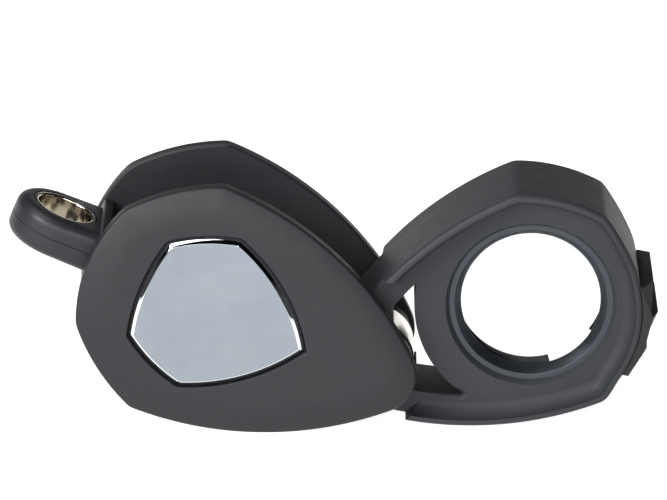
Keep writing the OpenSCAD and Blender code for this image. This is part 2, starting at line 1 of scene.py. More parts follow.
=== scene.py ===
# %% [markdown]
# # A folding jeweler loupe, finished over its CAD frame
# The loupe is a flat case of two moulded covers with a cord loop at its wide
# end. A holder with a thick lens swings out of the case about a steel pin.
# The CAD model gives every piece its place and size. Here the pieces that the
# eye meets are built again as finer surfaces, and all of them get a finish.
# Lengths are in millimetres in this file and turn to metres in one place.

# %% Tools and the frame
import math

import bpy
import numpy as np
from mathutils import Matrix, Vector
from mathutils.geometry import delaunay_2d_cdt


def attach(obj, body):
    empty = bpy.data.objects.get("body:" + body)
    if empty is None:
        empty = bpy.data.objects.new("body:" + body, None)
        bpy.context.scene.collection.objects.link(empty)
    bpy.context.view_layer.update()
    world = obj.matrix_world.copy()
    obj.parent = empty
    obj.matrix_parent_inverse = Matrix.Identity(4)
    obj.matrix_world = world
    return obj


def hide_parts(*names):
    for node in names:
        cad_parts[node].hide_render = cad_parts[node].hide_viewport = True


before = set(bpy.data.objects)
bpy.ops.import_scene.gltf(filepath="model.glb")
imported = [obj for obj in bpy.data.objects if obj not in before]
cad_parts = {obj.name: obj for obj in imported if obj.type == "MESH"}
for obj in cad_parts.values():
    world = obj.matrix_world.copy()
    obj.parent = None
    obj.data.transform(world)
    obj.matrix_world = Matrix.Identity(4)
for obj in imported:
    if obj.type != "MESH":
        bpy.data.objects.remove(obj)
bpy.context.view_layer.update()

# %% [markdown]
# ## Two local frames
# The case and the holder are each drawn flat, as on paper: u runs from the
# pivot to the wide end, v across it and z towards the viewer. One turn about
# the pivot stands each drawing up in the world. Drawing flat keeps every
# outline symmetric about v = 0, which the tilted world frame would hide.

# %% Where the two drawings stand
MM = 0.001
PIVOT = (5.52705, 0.15, 7.97201)
TILT = {"case": 157.3, "lens_holder": 22.1515}


def to_world(points, body):
    """Local (u, v, z) to world metres.

    x = px + u cos a - v sin a, y = py - z, z = pz + u sin a + v cos a,
    with a the body's tilt and (px, py, pz) the pivot.
    """
    u, v, z = np.asarray(points, float).reshape(-1, 3).T
    a = math.radians(TILT[body])
    x = PIVOT[0] + u * math.cos(a) - v * math.sin(a)
    up = PIVOT[2] + u * math.sin(a) + v * math.cos(a)
    return np.column_stack((x, PIVOT[1] - z, up)) * MM


print("the drawings are turned by", TILT, "degrees about", PIVOT)

# %% [markdown]
# ## From arrays to pieces
# Every new piece is a table of points and a table of faces. One helper turns
# them into a mesh, checks by the signed volume that the faces look outwards,
# marks the hard edges, and hands the piece to its body.

# %% Making a piece
def ring_faces(rings, count, first=0, wrap=False):
    """Quads between neighbouring rings of `count` points each.

    Point j of ring i has the index first + i * count + j.
    """
    i = np.arange(rings if wrap else rings - 1)[:, None]
    j = np.arange(count)[None, :]
    a = i * count + j
    b = i * count + (j + 1) % count
    up = ((i + 1) % rings) * count
    quads = np.stack((a, b, up + (j + 1) % count, up + j), axis=-1)
    return (quads.reshape(-1, 4) + first).tolist()


def cap_faces(ring_start, count, centre):
    """A fan of triangles (j, j + 1, centre) from a ring to its middle."""
    j = np.arange(count)
    fan = (ring_start + j, ring_start + (j + 1) % count, np.full(count, centre))
    return np.stack(fan, axis=-1).tolist()


def signed_volume(points, faces):
    """A sixth of the sum of a . (b x c) over the triangles of all faces."""
    tri = [(f[0], f[k], f[k + 1]) for f in faces for k in range(1, len(f) - 1)]
    a, b, c = (points[np.array(tri)[:, k]] for k in range(3))
    return float(np.einsum("ij,ij->i", a, np.cross(b, c)).sum() / 6)


def add_piece(name, body, points, faces, finish, *, replaces, slot, hard=32):
    """Puts local points and faces into a mesh that rides on a body.

    finish is one material or a list of them. Edges that turn by more than
    `hard` degrees are drawn sharp.
    """
    points = to_world(points, body)
    if signed_volume(points, faces) < 0:
        faces = [f[::-1] for f in faces]
    mesh = bpy.data.meshes.new(name)
    mesh.from_pydata(points.tolist(), [], faces)
    mesh.validate()
    finishes = finish if isinstance(finish, (list, tuple)) else [finish]
    for one in finishes:
        mesh.materials.append(one)
    mesh.polygons.foreach_set("use_smooth", [True] * len(mesh.polygons))
    mesh.set_sharp_from_angle(angle=math.radians(hard))
    piece = bpy.data.objects.new(name, mesh)
    bpy.context.scene.collection.objects.link(piece)
    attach(piece, body)
    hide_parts(*replaces)
    print(f"{name}: {len(points)} points, {len(faces)} faces")
    return piece


print("between two rings of four points:", ring_faces(2, 4))

# %% [markdown]
# ## The outline that all the flat parts share
# Case, holder and plate have the same sort of outline: two long shallow arcs,
# two shorter flanks, one end arc and, on two of them, a round nose about the
# pivot. Each is seen from one inner point, and a ray in every direction tells
# how far the edge is. Moving an arc inwards is only a smaller radius, so the
# same rays also draw every step of a rounded or bevelled edge.

# %% Arcs and rays
def risen_circle(p, q, rise):
    """The circle through p and q whose arc stands `rise` above the chord:
    its radius is (chord^2 / 4 + rise^2) / (2 rise)."""
    p, q = np.array(p, float), np.array(q, float)
    chord = np.linalg.norm(q - p)
    along = (q - p) / chord
    out = np.array([-along[1], along[0]])
    radius = (chord ** 2 / 4 + rise ** 2) / (2 * rise)
    return (p + q) / 2 - out * (radius - rise), radius


def side_circle(shoulder, half, nose):
    """The long arc, level at the shoulder and tangent to the nose circle: its
    radius is (shoulder^2 + half^2 - nose^2) / (2 (half - nose))."""
    radius = (shoulder ** 2 + half ** 2 - nose ** 2) / (2 * (half - nose))
    return np.array([shoulder, half - radius]), radius


def pick_shape(shoulder, half, nose, end, end_half, flank_rise, end_rise):
    """Arcs of the upper half of a pick-shaped outline; v < 0 mirrors it."""
    return {
        "nose": nose,
        "arcs": [side_circle(shoulder, half, nose),
                 risen_circle((shoulder, half), (end, end_half), flank_rise),
                 risen_circle((end, end_half), (end, -end_half), end_rise)],
    }


def exit_reach(start, ray, centre, radius):
    """How far rays run before they leave a circle: -b + sqrt(b^2 - c)."""
    offset = np.asarray(start, float) - centre
    b = ray @ offset
    root = b ** 2 - (offset @ offset - np.square(radius))
    return -b + np.sqrt(np.maximum(root, 0))


CORNER_SHARPNESS, FAR, LEFT_SIDE = 12.0, 20, -0.3


def outline_reach(shape, start_u, theta, inset):
    """Reach of each ray to the outline moved inwards by inset.

    The nearest of side, flank and end arcs stops a ray, by the smooth minimum
    F - log(sum of exp(-k (reach - F))) / k, which rounds the corners a little;
    F only keeps the powers small. Rays towards the pivot stop at the side arc
    or, in the nose's sector, at the nose circle.
    """
    theta, inset = np.broadcast_arrays(np.asarray(theta, float), np.asarray(inset, float))
    ray = np.stack((np.cos(theta), np.abs(np.sin(theta))), axis=-1)
    start = np.array([start_u, 0.0])
    soft = sum(np.exp(-CORNER_SHARPNESS * (exit_reach(start, ray, c, r - inset) - FAR))
               for c, r in shape["arcs"])
    side_c, side_r = shape["arcs"][0]
    side = exit_reach(start, ray, side_c, side_r - inset)
    left = np.cos(theta) < LEFT_SIDE
    reach = FAR - np.log(soft) / CORNER_SHARPNESS
    reach = np.where(left, side, reach)
    if shape["nose"] > 0:
        nose = exit_reach(start, ray, np.zeros(2), shape["nose"] - inset)
        hit = start + ray * nose[..., None]
        touch = -side_c / np.linalg.norm(side_c)
        in_sector = (touch[0] * hit[..., 1] - touch[1] * hit[..., 0] >= 0) & left
        reach = np.where(in_sector, nose, reach)
    return reach


def outline_points(shape, start_u, theta, inset):
    """The outline as points (start + reach cos a, reach sin a)."""
    reach = outline_reach(shape, start_u, theta, inset)
    return np.stack((start_u + reach * np.cos(theta), reach * np.sin(theta)), axis=-1)


def ray_angles(shapes, start_u, count, turn_weight=10.0):
    """Ray angles that crowd where an outline turns.

    A running measure adds each dense step's length and its turning times a
    weight, for all the outlines together, and equal shares of it are taken.
    """
    dense = np.linspace(-math.pi, math.pi, 24001)
    total = np.zeros(len(dense))
    for shape in shapes:
        step = np.diff(outline_points(shape, start_u, dense, 0.0), axis=0)
        heading = np.unwrap(np.arctan2(step[:, 1], step[:, 0]))
        turn = np.abs(np.diff(heading, prepend=heading[0]))
        total[1:] += np.cumsum(np.hypot(step[:, 0], step[:, 1]) + turn_weight * turn)
    share = np.linspace(0, total[-1], count, endpoint=False)
    return np.interp(share, total, dense)


RAYS = 720
CASE = pick_shape(28, 16.5, 5.3, 38.8, 8.5, 0.8, 1.7)
HOLDER = pick_shape(26, 15.5, 6, 35.7, 8.3, 0.8, 1)
PLATE = {
    "nose": 0,
    "arcs": [risen_circle((9.9, 0), (23.4, 11), 1.5),
             risen_circle((23.4, 11), (32.1, 7), 0.55),
             risen_circle((32.1, 7), (32.1, -7), 0.9)],
}
case_width = 2 * outline_reach(CASE, 20, [math.pi / 2], 0.0)[0]
print(f"case is {case_width:.2f} mm wide at u = 20")

# %% [markdown]
# ## Finishes
# All but the metals are moulded plastic. A maker of the real loupe sparks a
# fine grain into the mould for the covers, polishes it less for the holder,
# and leaves the grip dull. In the shader that is a fine bump, a slow drift of
# colour and a gloss that changes a little from place to place, all read from
# Object coordinates so that nothing slides when a piece moves.

# %% A moulded or metal finish
def node(tree, kind, **values):
    """Adds a node and sets its properties and inputs by name."""
    made = tree.nodes.new(kind)
    for key, value in values.items():
        if hasattr(made, key):
            setattr(made, key, value)
        else:
            made.inputs[key.replace("_", " ")].default_value = value
    return made


def new_finish(name, **sockets):
    """A Principled material; uniform numbers sit on the shader's own sockets."""
    made = bpy.data.materials.new(name)
    made.use_nodes = True
    shader = made.node_tree.nodes["Principled BSDF"]
    for key, value in sockets.items():
        shader.inputs[key.replace("_", " ")].default_value = value
    place = node(made.node_tree, "ShaderNodeTexCoord")
    return made, shader, place.outputs["Object"]


def add_noise(tree, place, per_mm, detail=3.0, stretch=None):
    """Noise with so many cells to a millimetre, stretched where asked."""
    if stretch is not None:
        mapped = node(tree, "ShaderNodeMapping")
        mapped.inputs["Scale"].default_value = stretch
        tree.links.new(place, mapped.inputs["Vector"])
        place = mapped.outputs["Vector"]
    noise = node(tree, "ShaderNodeTexNoise", Scale=per_mm * 1000, Detail=detail)
    tree.links.new(place, noise.inputs["Vector"])
    return noise.outputs["Fac"]


def spread(tree, value, low, high):
    """Maps noise from its usual 0.3 to 0.7 onto low to high:
    low + (high - low) (value - 0.3) / 0.4."""
    mapped = node(tree, "ShaderNodeMapRange")
    for key, number in (("From Min", 0.3), ("From Max", 0.7), ("To Min", low), ("To Max", high)):
        mapped.inputs[key].default_value = number
    tree.links.new(value, mapped.inputs["Value"])
    return mapped.outputs["Result"]


def tint(tree, value, dark, light):
    """Mixes two colours by a value: dark + value (light - dark)."""
    mix = node(tree, "ShaderNodeMix", data_type="RGBA")
    mix.inputs["A"].default_value = (*dark, 1)
    mix.inputs["B"].default_value = (*light, 1)
    tree.links.new(value, mix.inputs["Factor"])
    return mix.outputs["Result"]


def moulded(name, dark, light, gloss, grain_per_mm, grain_depth, drift_per_mm=0.12, **sockets):
    """Plastic: colour drifts between two tints, gloss between two values,
    and a fine grain of the given depth in mm roughens it."""
    made, shader, place = new_finish(name, **sockets)
    tree = made.node_tree
    drift = add_noise(tree, place, drift_per_mm, 4.0)
    tree.links.new(tint(tree, spread(tree, drift, 0, 1), dark, light), shader.inputs["Base Color"])
    patch = add_noise(tree, place, drift_per_mm * 4, 5.0)
    tree.links.new(spread(tree, patch, *gloss), shader.inputs["Roughness"])
    bump = node(tree, "ShaderNodeBump", Strength=1.0, Distance=grain_depth * MM)
    tree.links.new(add_noise(tree, place, grain_per_mm, 2.0), bump.inputs["Height"])
    tree.links.new(bump.outputs["Normal"], shader.inputs["Normal"])
    return made


cover_finish = moulded("cover_grain", (0.0086, 0.0092, 0.0114), (0.0098, 0.0104, 0.0128),
                       (0.48, 0.56), 4.0, 0.018, Specular_IOR_Level=0.36)
holder_finish = moulded("holder_satin", (0.0225, 0.0240, 0.0270), (0.0245, 0.0260, 0.0292),
                        (0.48, 0.55), 5.0, 0.007, Specular_IOR_Level=0.20)
loop_finish = moulded("loop_satin", (0.0118, 0.0130, 0.0155), (0.0138, 0.0150, 0.0175),
                      (0.36, 0.44), 4.0, 0.008, Specular_IOR_Level=0.28)
grip_finish = moulded("grip_dull", (0.0100, 0.0092, 0.0083), (0.0125, 0.0115, 0.0105),
                      (0.55, 0.68), 5.0, 0.010, Specular_IOR_Level=0.28)
cell_finish = moulded("cell_anodised", (0.046, 0.051, 0.060), (0.054, 0.060, 0.070),
                      (0.28, 0.36), 8.0, 0.002, Metallic=0.85)
stop_finish = moulded("stop_black", (0.010, 0.010, 0.010), (0.014, 0.014, 0.014),
                      (0.5, 0.6), 6.0, 0.004)
plate_face = moulded("plate_satin", (0.235, 0.262, 0.290), (0.262, 0.290, 0.318),
                     (0.30, 0.36), 12.0, 0.001, Metallic=1.0)
plate_edge = moulded("plate_polished", (0.74, 0.76, 0.79), (0.80, 0.82, 0.85),
                     (0.03, 0.06), 6.0, 0.0003, Metallic=1.0)
eyelet_finish = moulded("eyelet_nickel", (0.50, 0.46, 0.40), (0.57, 0.53, 0.46),
                        (0.08, 0.14), 3.0, 0.001, Metallic=1.0)
steel_finish = moulded("turned_steel", (0.52, 0.52, 0.52), (0.62, 0.62, 0.61),
                       (0.20, 0.30), 10.0, 0.001, Metallic=1.0)
dark_steel_finish = moulded("dark_steel", (0.10, 0.10, 0.105), (0.14, 0.14, 0.145),
                            (0.30, 0.40), 8.0, 0.002, Metallic=1.0)
brass_finish = moulded("turned_brass", (0.60, 0.44, 0.20), (0.70, 0.53, 0.26),
                       (0.20, 0.30), 8.0, 0.001, Metallic=1.0)
bush_finish = moulded("bush_metal", (0.80, 0.77, 0.70), (0.88, 0.85, 0.78),
                      (0.14, 0.22), 8.0, 0.001, Metallic=1.0)
washer_finish = moulded("washer_plastic", (0.02, 0.02, 0.02), (0.03, 0.03, 0.03),
                        (0.4, 0.5), 4.0, 0.003)
glue_finish = moulded("adhesive_sheet", (0.55, 0.55, 0.50), (0.62, 0.62, 0.57),
                      (0.5, 0.6), 3.0, 0.004)
print("finishes:", len(bpy.data.materials))

# %% [markdown]
# ## Glass
# The lens is three pieces cemented into one. Its outer faces bend light; the
# cement has nearly the glass's own index, so the faces inside let light pass
# straight on. The ground rims are blackened, which stops stray light.

# %% Polished, cemented and blackened faces
def glass(name, index):
    """Clear glass whose gloss drifts by a hair, with one index all over."""
    made, shader, place = new_finish(
        name, IOR=index, Transmission_Weight=1.0, Roughness=0.0)
    tree = made.node_tree
    haze = add_noise(tree, place, 0.3, 3.0)
    tree.links.new(spread(tree, haze, 0.0, 0.004), shader.inputs["Roughness"])
    tree.links.new(tint(tree, haze, (0.99, 0.995, 0.995), (0.995, 1.0, 1.0)),
                   shader.inputs["Base Color"])
    return made


polished_glass = glass("lens_polished", 1.52)
cemented_glass = glass("lens_cemented", 1.001)
rim_black = moulded("lens_rim", (0.008, 0.008, 0.009), (0.012, 0.012, 0.013),
                    (0.6, 0.7), 6.0, 0.003)
glass_finishes = [polished_glass, cemented_glass, rim_black]
POLISHED, CEMENTED, GROUND = range(3)
print("glass index", polished_glass.node_tree.nodes["Principled BSDF"].inputs["IOR"].default_value)

# %% [markdown]
# ## Edge profiles
# A profile lists how far in from the outline and how high each ring lies. A
# small extra ring close to each bend keeps the flats flat in the shading.

# %% Profiles and lofts
HOLD = 0.03


def quarter(inset0, z0, radius, from_deg, to_deg, steps=6):
    """Points of a rounding: inset0 + r (1 - cos a), z0 + r sin a."""
    a = np.radians(np.linspace(from_deg, to_deg, steps + 1))
    return np.column_stack((inset0 + radius * (1 - np.cos(a)), z0 + radius * np.sin(a)))


def loft_pick(shape, start_u, theta, profile):
    """Rings of an outline, one for each [inset, z] row of a profile."""
    profile = np.asarray(profile, float)
    rings = outline_points(shape, start_u, theta[None, :], profile[:, :1])
    z = np.broadcast_to(profile[:, 1:], rings.shape[:2])
    return np.dstack((rings, z))


def close_loft(rings, start_u):
    """Stacks rings into points and faces with a fan on the first and last."""
    count = rings.shape[1]
    points = rings.reshape(-1, 3)
    faces = ring_faces(rings.shape[0], count)
    low = len(points)
    ends = np.array([[start_u, 0, rings[0, 0, 2]], [start_u, 0, rings[-1, 0, 2]]])
    points = np.vstack((points, ends))
    faces += [f[::-1] for f in cap_faces(0, count, low)]
    faces += cap_faces(low - count, count, low + 1)
    return points, faces


def revolve(profile, centre_u, segments):
    """Rings of [radius, z] rows round an axis at (centre_u, 0):
    u = centre + r cos a, v = r sin a."""
    profile = np.asarray(profile, float)
    a = np.linspace(0, 2 * math.pi, segments, endpoint=False)
    r = profile[:, :1]
    return np.dstack((centre_u + r * np.cos(a), r * np.sin(a),
                      np.broadcast_to(profile[:, 1:], (len(profile), segments))))


def ring_solid(profile, centre_u, segments=192):
    """A closed profile carried all the way round: a ring with a hole."""
    rings = revolve(profile, centre_u, segments)
    return rings.reshape(-1, 3), ring_faces(len(profile), segments, wrap=True)


def capped(rings):
    """Stacked rings with a flat face over the first and the last."""
    count, segments = rings.shape[:2]
    last = (count - 1) * segments
    ends = [list(range(segments))[::-1], list(range(last, last + segments))]
    return rings.reshape(-1, 3), ring_faces(count, segments) + ends


def join(*solids):
    """Several point and face tables as one."""
    points, faces, first = [], [], 0
    for p, f in solids:
        points.append(p)
        faces += [[i + first for i in face] for face in f]
        first += len(p)
    return np.vstack(points), faces


print("a quarter rounding of 1 mm:", quarter(0, 0, 1, 0, 90).round(2).tolist())

# %% [markdown]
# ## The two covers
# Each cover is a moulded shell 2.2 mm thick at its edge. The outer face first
# rounds over and then swells gently to a flat top. The front one has a shallow
# pocket for the plate. Both carry a boss inside that holds the pivot pin.
# A loft over the rays makes the whole skin in one go.

# %% Front cover
CASE_Z, FACE_Z, RIM, ROUND, CROWN_W, CHAMFER = 7.7, 10.7, 2.2, 0.5, 4.5, 0.3
POCKET, GAP, SOFT = 0.85, 0.15, 0.10
START = 20.0
case_theta = ray_angles([CASE, PLATE], START, RAYS)


def cover_skin():
    """Inner face, small chamfer, side, rounding and crown up to the flat top.

    The rounding stops at 68 degrees. The crown goes on from there and rises
    as h (1 - (1 - k)^2) over its width, so it is level at the top.
    """
    wall_top = CASE_Z + RIM - ROUND
    bend = quarter(0, wall_top, ROUND, 0, 68, 7)
    k = np.linspace(0, 1, 13)[1:]
    low = bend[-1]
    crown = np.column_stack((low[0] + (CROWN_W - low[0]) * k,
                             low[1] + (FACE_Z - low[1]) * (1 - (1 - k) ** 2)))
    inside = [[CHAMFER + HOLD, CASE_Z], [CHAMFER, CASE_Z], [0, CASE_Z + CHAMFER],
              [0, CASE_Z + CHAMFER + HOLD], [0, wall_top - HOLD]]
    return np.vstack((inside, bend, crown))


BOSS_R, FRONT_BOSS_Z, REAR_BOSS_Z = 4.75, 4.04, 4.34


def boss(end_z):
    """The round boss inside a cover, turned, with a small rounding at its end."""
    return capped(revolve([[0.01, CASE_Z + 0.5], [BOSS_R, CASE_Z + 0.5],
                           [BOSS_R, end_z + 0.2], [BOSS_R - 0.06, end_z + 0.06],
                           [BOSS_R - 0.2, end_z], [0.01, end_z]], 0.0, 96))


skin = loft_pick(CASE, START, case_theta, cover_skin())
pocket_profile = [[-GAP - SOFT - HOLD, FACE_Z], [-GAP - SOFT, FACE_Z],
                  [-GAP - 0.03, FACE_Z - 0.03], [-GAP, FACE_Z - SOFT],
                  [-GAP, FACE_Z - POCKET + HOLD], [-GAP, FACE_Z - POCKET],
                  [-GAP + HOLD, FACE_Z - POCKET]]
pocket = loft_pick(PLATE, START, case_theta, pocket_profile)
front = close_loft(np.concatenate((skin, pocket)), START)
add_piece("front_cover_skin", "case", *join(front, boss(FRONT_BOSS_Z)), cover_finish,
          replaces=["front_cover"], slot="cover")

# %% [markdown]
# ## Holes in the back
# The rear cover is the same skin turned over, without a pocket. A countersink
# takes the pivot's screw and two counterbores take the case screws. The rays of
# the loft all start at one inner point and can't run round such small holes, so
# a Boolean takes turned bits out of the finished skin, as drills would.

# %% Rear cover
flip = np.array([1, 1, -1])
rear_skin = loft_pick(CASE, START, case_theta, cover_skin()) * flip


def drilled(solid, bits):
    """Takes drill bits out of a solid, all given as points and faces."""
    made = []
    for points, faces in (solid, join(*bits)):
        if signed_volume(points, faces) < 0:
            faces = [f[::-1] for f in faces]
        mesh = bpy.data.meshes.new("blank")
        mesh.from_pydata(points.tolist(), [], faces)
        made.append(bpy.data.objects.new("blank", mesh))
        bpy.context.scene.collection.objects.link(made[-1])
    cut = made[0].modifiers.new("holes", "BOOLEAN")
    cut.object, cut.operation, cut.solver = made[1], "DIFFERENCE", "EXACT"
    done = bpy.data.meshes.new_from_object(
        made[0].evaluated_get(bpy.context.evaluated_depsgraph_get()))
    points = np.empty(len(done.vertices) * 3)
    done.vertices.foreach_get("co", points)
    faces = [list(f.vertices) for f in done.polygons]
    for one in made:
        bpy.data.objects.remove(one)
    return points.reshape(-1, 3), faces


def bit(profile, centre_u, centre_v=0.0):
    """A turned drill bit: [radius, z] rows from one end to the other."""
    return capped(revolve(profile, centre_u, 64) + np.array([0, centre_v, 0]))


SCREW_U, SCREW_V = 38.3, (1.6, 4.9)
countersink = [[2.35, -FACE_Z - 0.1], [1.05, -9.4], [1.05, -7]]
counterbore = [[1.15, -FACE_Z - 1], [1.15, -8.8], [0.75, -8.79], [0.75, -7]]
holes = [bit(countersink, 0.0)] + [bit(counterbore, SCREW_U, v) for v in SCREW_V]
rear = drilled(close_loft(rear_skin, START), holes)
boss_points, boss_faces = boss(REAR_BOSS_Z)
add_piece("rear_cover_skin", "case", *join(rear, (boss_points * flip, boss_faces)),
          cover_finish, replaces=["rear_cover"], slot="cover")

# %% [markdown]
# ## The bare plate
# A thin metal plate lies in the pocket with a dark gap all round. Its face is
# satin and its edge is a polished bevel, so it gets two materials: each band
# of faces is polished, but for the last one and the fan inside it.

# %% Plate with a polished bevel
PLATE_TOP, PLATE_T, BEVEL = 11.0, 1.05, 0.8
plate_profile = [[HOLD, PLATE_TOP - PLATE_T], [0, PLATE_TOP - PLATE_T],
                 [0, PLATE_TOP - PLATE_T + HOLD],
                 [0, PLATE_TOP - BEVEL - 0.04], [0.02, PLATE_TOP - BEVEL],
                 [BEVEL - 0.04, PLATE_TOP - 0.03], [BEVEL + 0.02, PLATE_TOP],
                 [BEVEL + 0.05, PLATE_TOP]]
points, faces = close_loft(loft_pick(PLATE, START, case_theta, plate_profile), START)
plate = add_piece("plate_bare", "case", points, faces, [plate_face, plate_edge],
                  hard=20, replaces=["name_plate"], slot="plate")
band = np.repeat(np.arange(len(plate_profile) - 1), RAYS)
polished = np.concatenate((band < len(plate_profile) - 2, np.ones(RAYS), np.zeros(RAYS)))
plate.data.polygons.foreach_set("material_index", polished.astype(np.int32))
print("polished faces:", int(polished.sum()), "of", len(polished))

# %% [markdown]
# ## Flat slabs with holes
# The end block and the holder's web are flat faces bounded by loops. The walls
# are lofts along the loops, and a constrained triangulation fills the flats.
# Its corners are the walls' own points, so no cut leaves a rough edge.

# %% Filling a flat face between loops
def inside_loop(p, loop):
    """Even-odd test: a point is inside a closed loop if a level ray from it
    crosses the loop an odd number of times."""
    x, y = p[:, :1], p[:, 1:]
    a, b = loop, np.roll(loop, -1, axis=0)
    crosses = (a[:, 1] > y) != (b[:, 1] > y)
    at = a[:, 0] + (y - a[:, 1]) * (b[:, 0] - a[:, 0]) / (b[:, 1] - a[:, 1] + 1e-30)
    return (np.sum(crosses & (x < at), axis=1) % 2) == 1


def fill_flat(outer, holes):
    """Triangles over the points of outer + holes, in that order.

    The triangulation keeps the loops' edges. A triangle stays if its middle
    lies inside the outer loop and in none of the holes.
    """
    loops = [outer, *holes]
    points = np.vstack(loops)
    edges, first = [], 0
    for loop in loops:
        n = len(loop)
        j = np.arange(n)
        edges += np.stack((j + first, (j + 1) % n + first), axis=-1).tolist()
        first += n
    out = delaunay_2d_cdt([Vector(p) for p in points], edges, [], 1, 1e-9, True)
    verts, tris = np.array([tuple(v) for v in out[0]]), out[2]
    origin = [o[0] if o else int(np.argmin(np.hypot(*(points - v).T)))
              for o, v in zip(out[3], verts)]
    print("flat filled with", len(tris), "triangles, new points:", sum(not o for o in out[3]))
    middle = np.array([verts[list(t)].mean(axis=0) for t in tris])
    keep = inside_loop(middle, outer)
    for hole in holes:
        keep &= ~inside_loop(middle, hole)
    return [[origin[i] for i in t] for t, k in zip(tris, keep) if k]


def loop_offset(loop, distance):
    """Moves an anticlockwise loop outwards along its normals, each of them
    square to the line between a point's two neighbours."""
    ahead, back = np.roll(loop, -1, axis=0), np.roll(loop, 1, axis=0)
    along = ahead - back
    along /= np.linalg.norm(along, axis=1)[:, None]
    return loop + distance * np.column_stack((along[:, 1], -along[:, 0]))


def round_loop(corners, radii, step=0.12):
    """A polygon with each corner replaced by an arc, which starts at
    r / tan(half the corner's angle) from the corner."""
    corners = np.asarray(corners, float)
    out = []
    for k, (c, r) in enumerate(zip(corners, radii)):
        a = corners[k - 1] - c
        b = corners[(k + 1) % len(corners)] - c
        la, lb = np.linalg.norm(a), np.linalg.norm(b)
        a, b = a / la, b / lb
        half = math.acos(np.clip(a @ b, -1, 1)) / 2
        cut = min(r / math.tan(half), 0.45 * la, 0.45 * lb)
        r = cut * math.tan(half)
        centre = c + (a + b) / np.linalg.norm(a + b) * r / math.sin(half)
        p, q = c + a * cut - centre, c + b * cut - centre
        t0, t1 = math.atan2(p[1], p[0]), math.atan2(q[1], q[0])
        sweep = (t1 - t0 + math.pi) % (2 * math.pi) - math.pi
        n = max(3, int(abs(sweep) * r / step) + 2)
        t = t0 + np.linspace(0, sweep, n)
        out.append(centre + r * np.column_stack((np.cos(t), np.sin(t))))
    return np.vstack(out)


def slab(loop, low, high, round_by=0.2, steps=4):
    """A loop between two heights, its flats filled and its edges rounded:
    inset r (1 - cos t) at r (1 - sin t) from the flat."""
    a = np.radians(np.linspace(90, 0, steps + 1))
    drop = [(HOLD + round_by, 0)] + [(round_by * (1 - math.cos(t)), round_by * (1 - math.sin(t)))
                                     for t in a]
    prof = [(i, low + z) for i, z in drop] + [(i, high - z) for i, z in drop[::-1]]
    rings = np.stack([np.column_stack((loop_offset(loop, -i), np.full(len(loop), z)))
                      for i, z in prof])
    n = len(loop)
    fill = fill_flat(rings[0, :, :2], [])
    faces = ring_faces(len(prof), n)
    faces += [f[::-1] for f in fill]
    faces += [[i + (len(prof) - 1) * n for i in f] for f in fill]
    return rings.reshape(-1, 3), faces


square = round_loop([(0, 0), (1, 0), (1, 1), (0, 1)], [0.1] * 4)
print("a rounded square has", len(square), "points")

# %% [markdown]
# ## End block and cord loop
# The block closes the gap between the covers at the wide end, and its loop
# stands out of the case. The real loop is moulded in one with the block, so
# its edges are full roundings, and a fine parting line runs along its side.

# %% End block
BLOCK_IN, BLOCK_THIN, BLOCK_HALF, BLOCK_TOP, BLOCK_STEP = 37.1, 38.592, 6.2, 3.4, -2.2
BLOCK_BACK, BLOCK_ROUND = 0.15, 0.45
end_circle = CASE["arcs"][2]
block_r = end_circle[1] - BLOCK_BACK
arc_t = np.linspace(-math.asin(BLOCK_TOP / block_r), math.asin(BLOCK_HALF / block_r), 15)
outer_arc = np.column_stack((end_circle[0][0] + block_r * np.cos(arc_t),
                             block_r * np.sin(arc_t)))
block_corners = np.vstack((outer_arc, [[BLOCK_IN, BLOCK_HALF], [BLOCK_IN, BLOCK_STEP],
                                       [BLOCK_THIN, BLOCK_STEP], [BLOCK_THIN, -BLOCK_TOP]]))
block_radii = [BLOCK_ROUND] + [2.0] * 13 + [BLOCK_ROUND] * 5
block_loop = round_loop(block_corners, block_radii, 0.2)
block = slab(block_loop, -CASE_Z, CASE_Z)
print("end block:", len(block_loop), "points round it")

# %% Cord loop
LOOP_U, LOOP_R, TIP_T, ROOT_T, LOOP_ROUND = 45.1, 6.3, 2.7, 2.8, 1.4
ROOT_U, LOOP_BACK, SEAT_HALF = 40.092, 39.4, 2.3
RECESS_R, SEAT_OUT, HOLE_R = 4.52, 4.45, 4.1
loop_phi = np.linspace(-math.pi, math.pi, 240, endpoint=False)


def loop_outline(inset):
    """Round about the eyelet's axis on the outside, straight towards the case:
    the reach is the least of r, r / |sin| and (LOOP_U - LOOP_BACK) / -cos."""
    c, s = np.cos(loop_phi), np.sin(loop_phi)
    r = LOOP_R - inset
    with np.errstate(divide="ignore"):
        side = np.where(c < 0, r / np.maximum(np.abs(s), 1e-9), r)
        back = np.where(c < 0, (LOOP_U - LOOP_BACK) / np.maximum(-c, 1e-9), 1e9)
    reach = np.minimum(side, back)
    return LOOP_U + reach * c, reach * s


def half_thickness(u, w):
    """The loop's half thickness: straight lines from the thick root to the
    rim of the tip's flat disc."""
    flat = LOOP_R - LOOP_ROUND
    far = LOOP_U + np.sqrt(np.maximum(flat ** 2 - np.square(w), 0))
    k = np.clip((u - ROOT_U) / (far - ROOT_U), -0.2, 1)
    return ROOT_T + (TIP_T - ROOT_T) * k


def loop_ring(inset, drop, side):
    """One ring of the loop, `drop` below its curved face on one side."""
    u, w = loop_outline(inset)
    return np.column_stack((u, side * (half_thickness(u, w) - drop), w))


def circle_ring(radius, side, height=None):
    """A circle about the eyelet's axis; without a height it follows the face."""
    u, w = LOOP_U + radius * np.cos(loop_phi), radius * np.sin(loop_phi)
    level = half_thickness(u, w) if height is None else np.full(len(u), height)
    return np.column_stack((u, side * level, w))


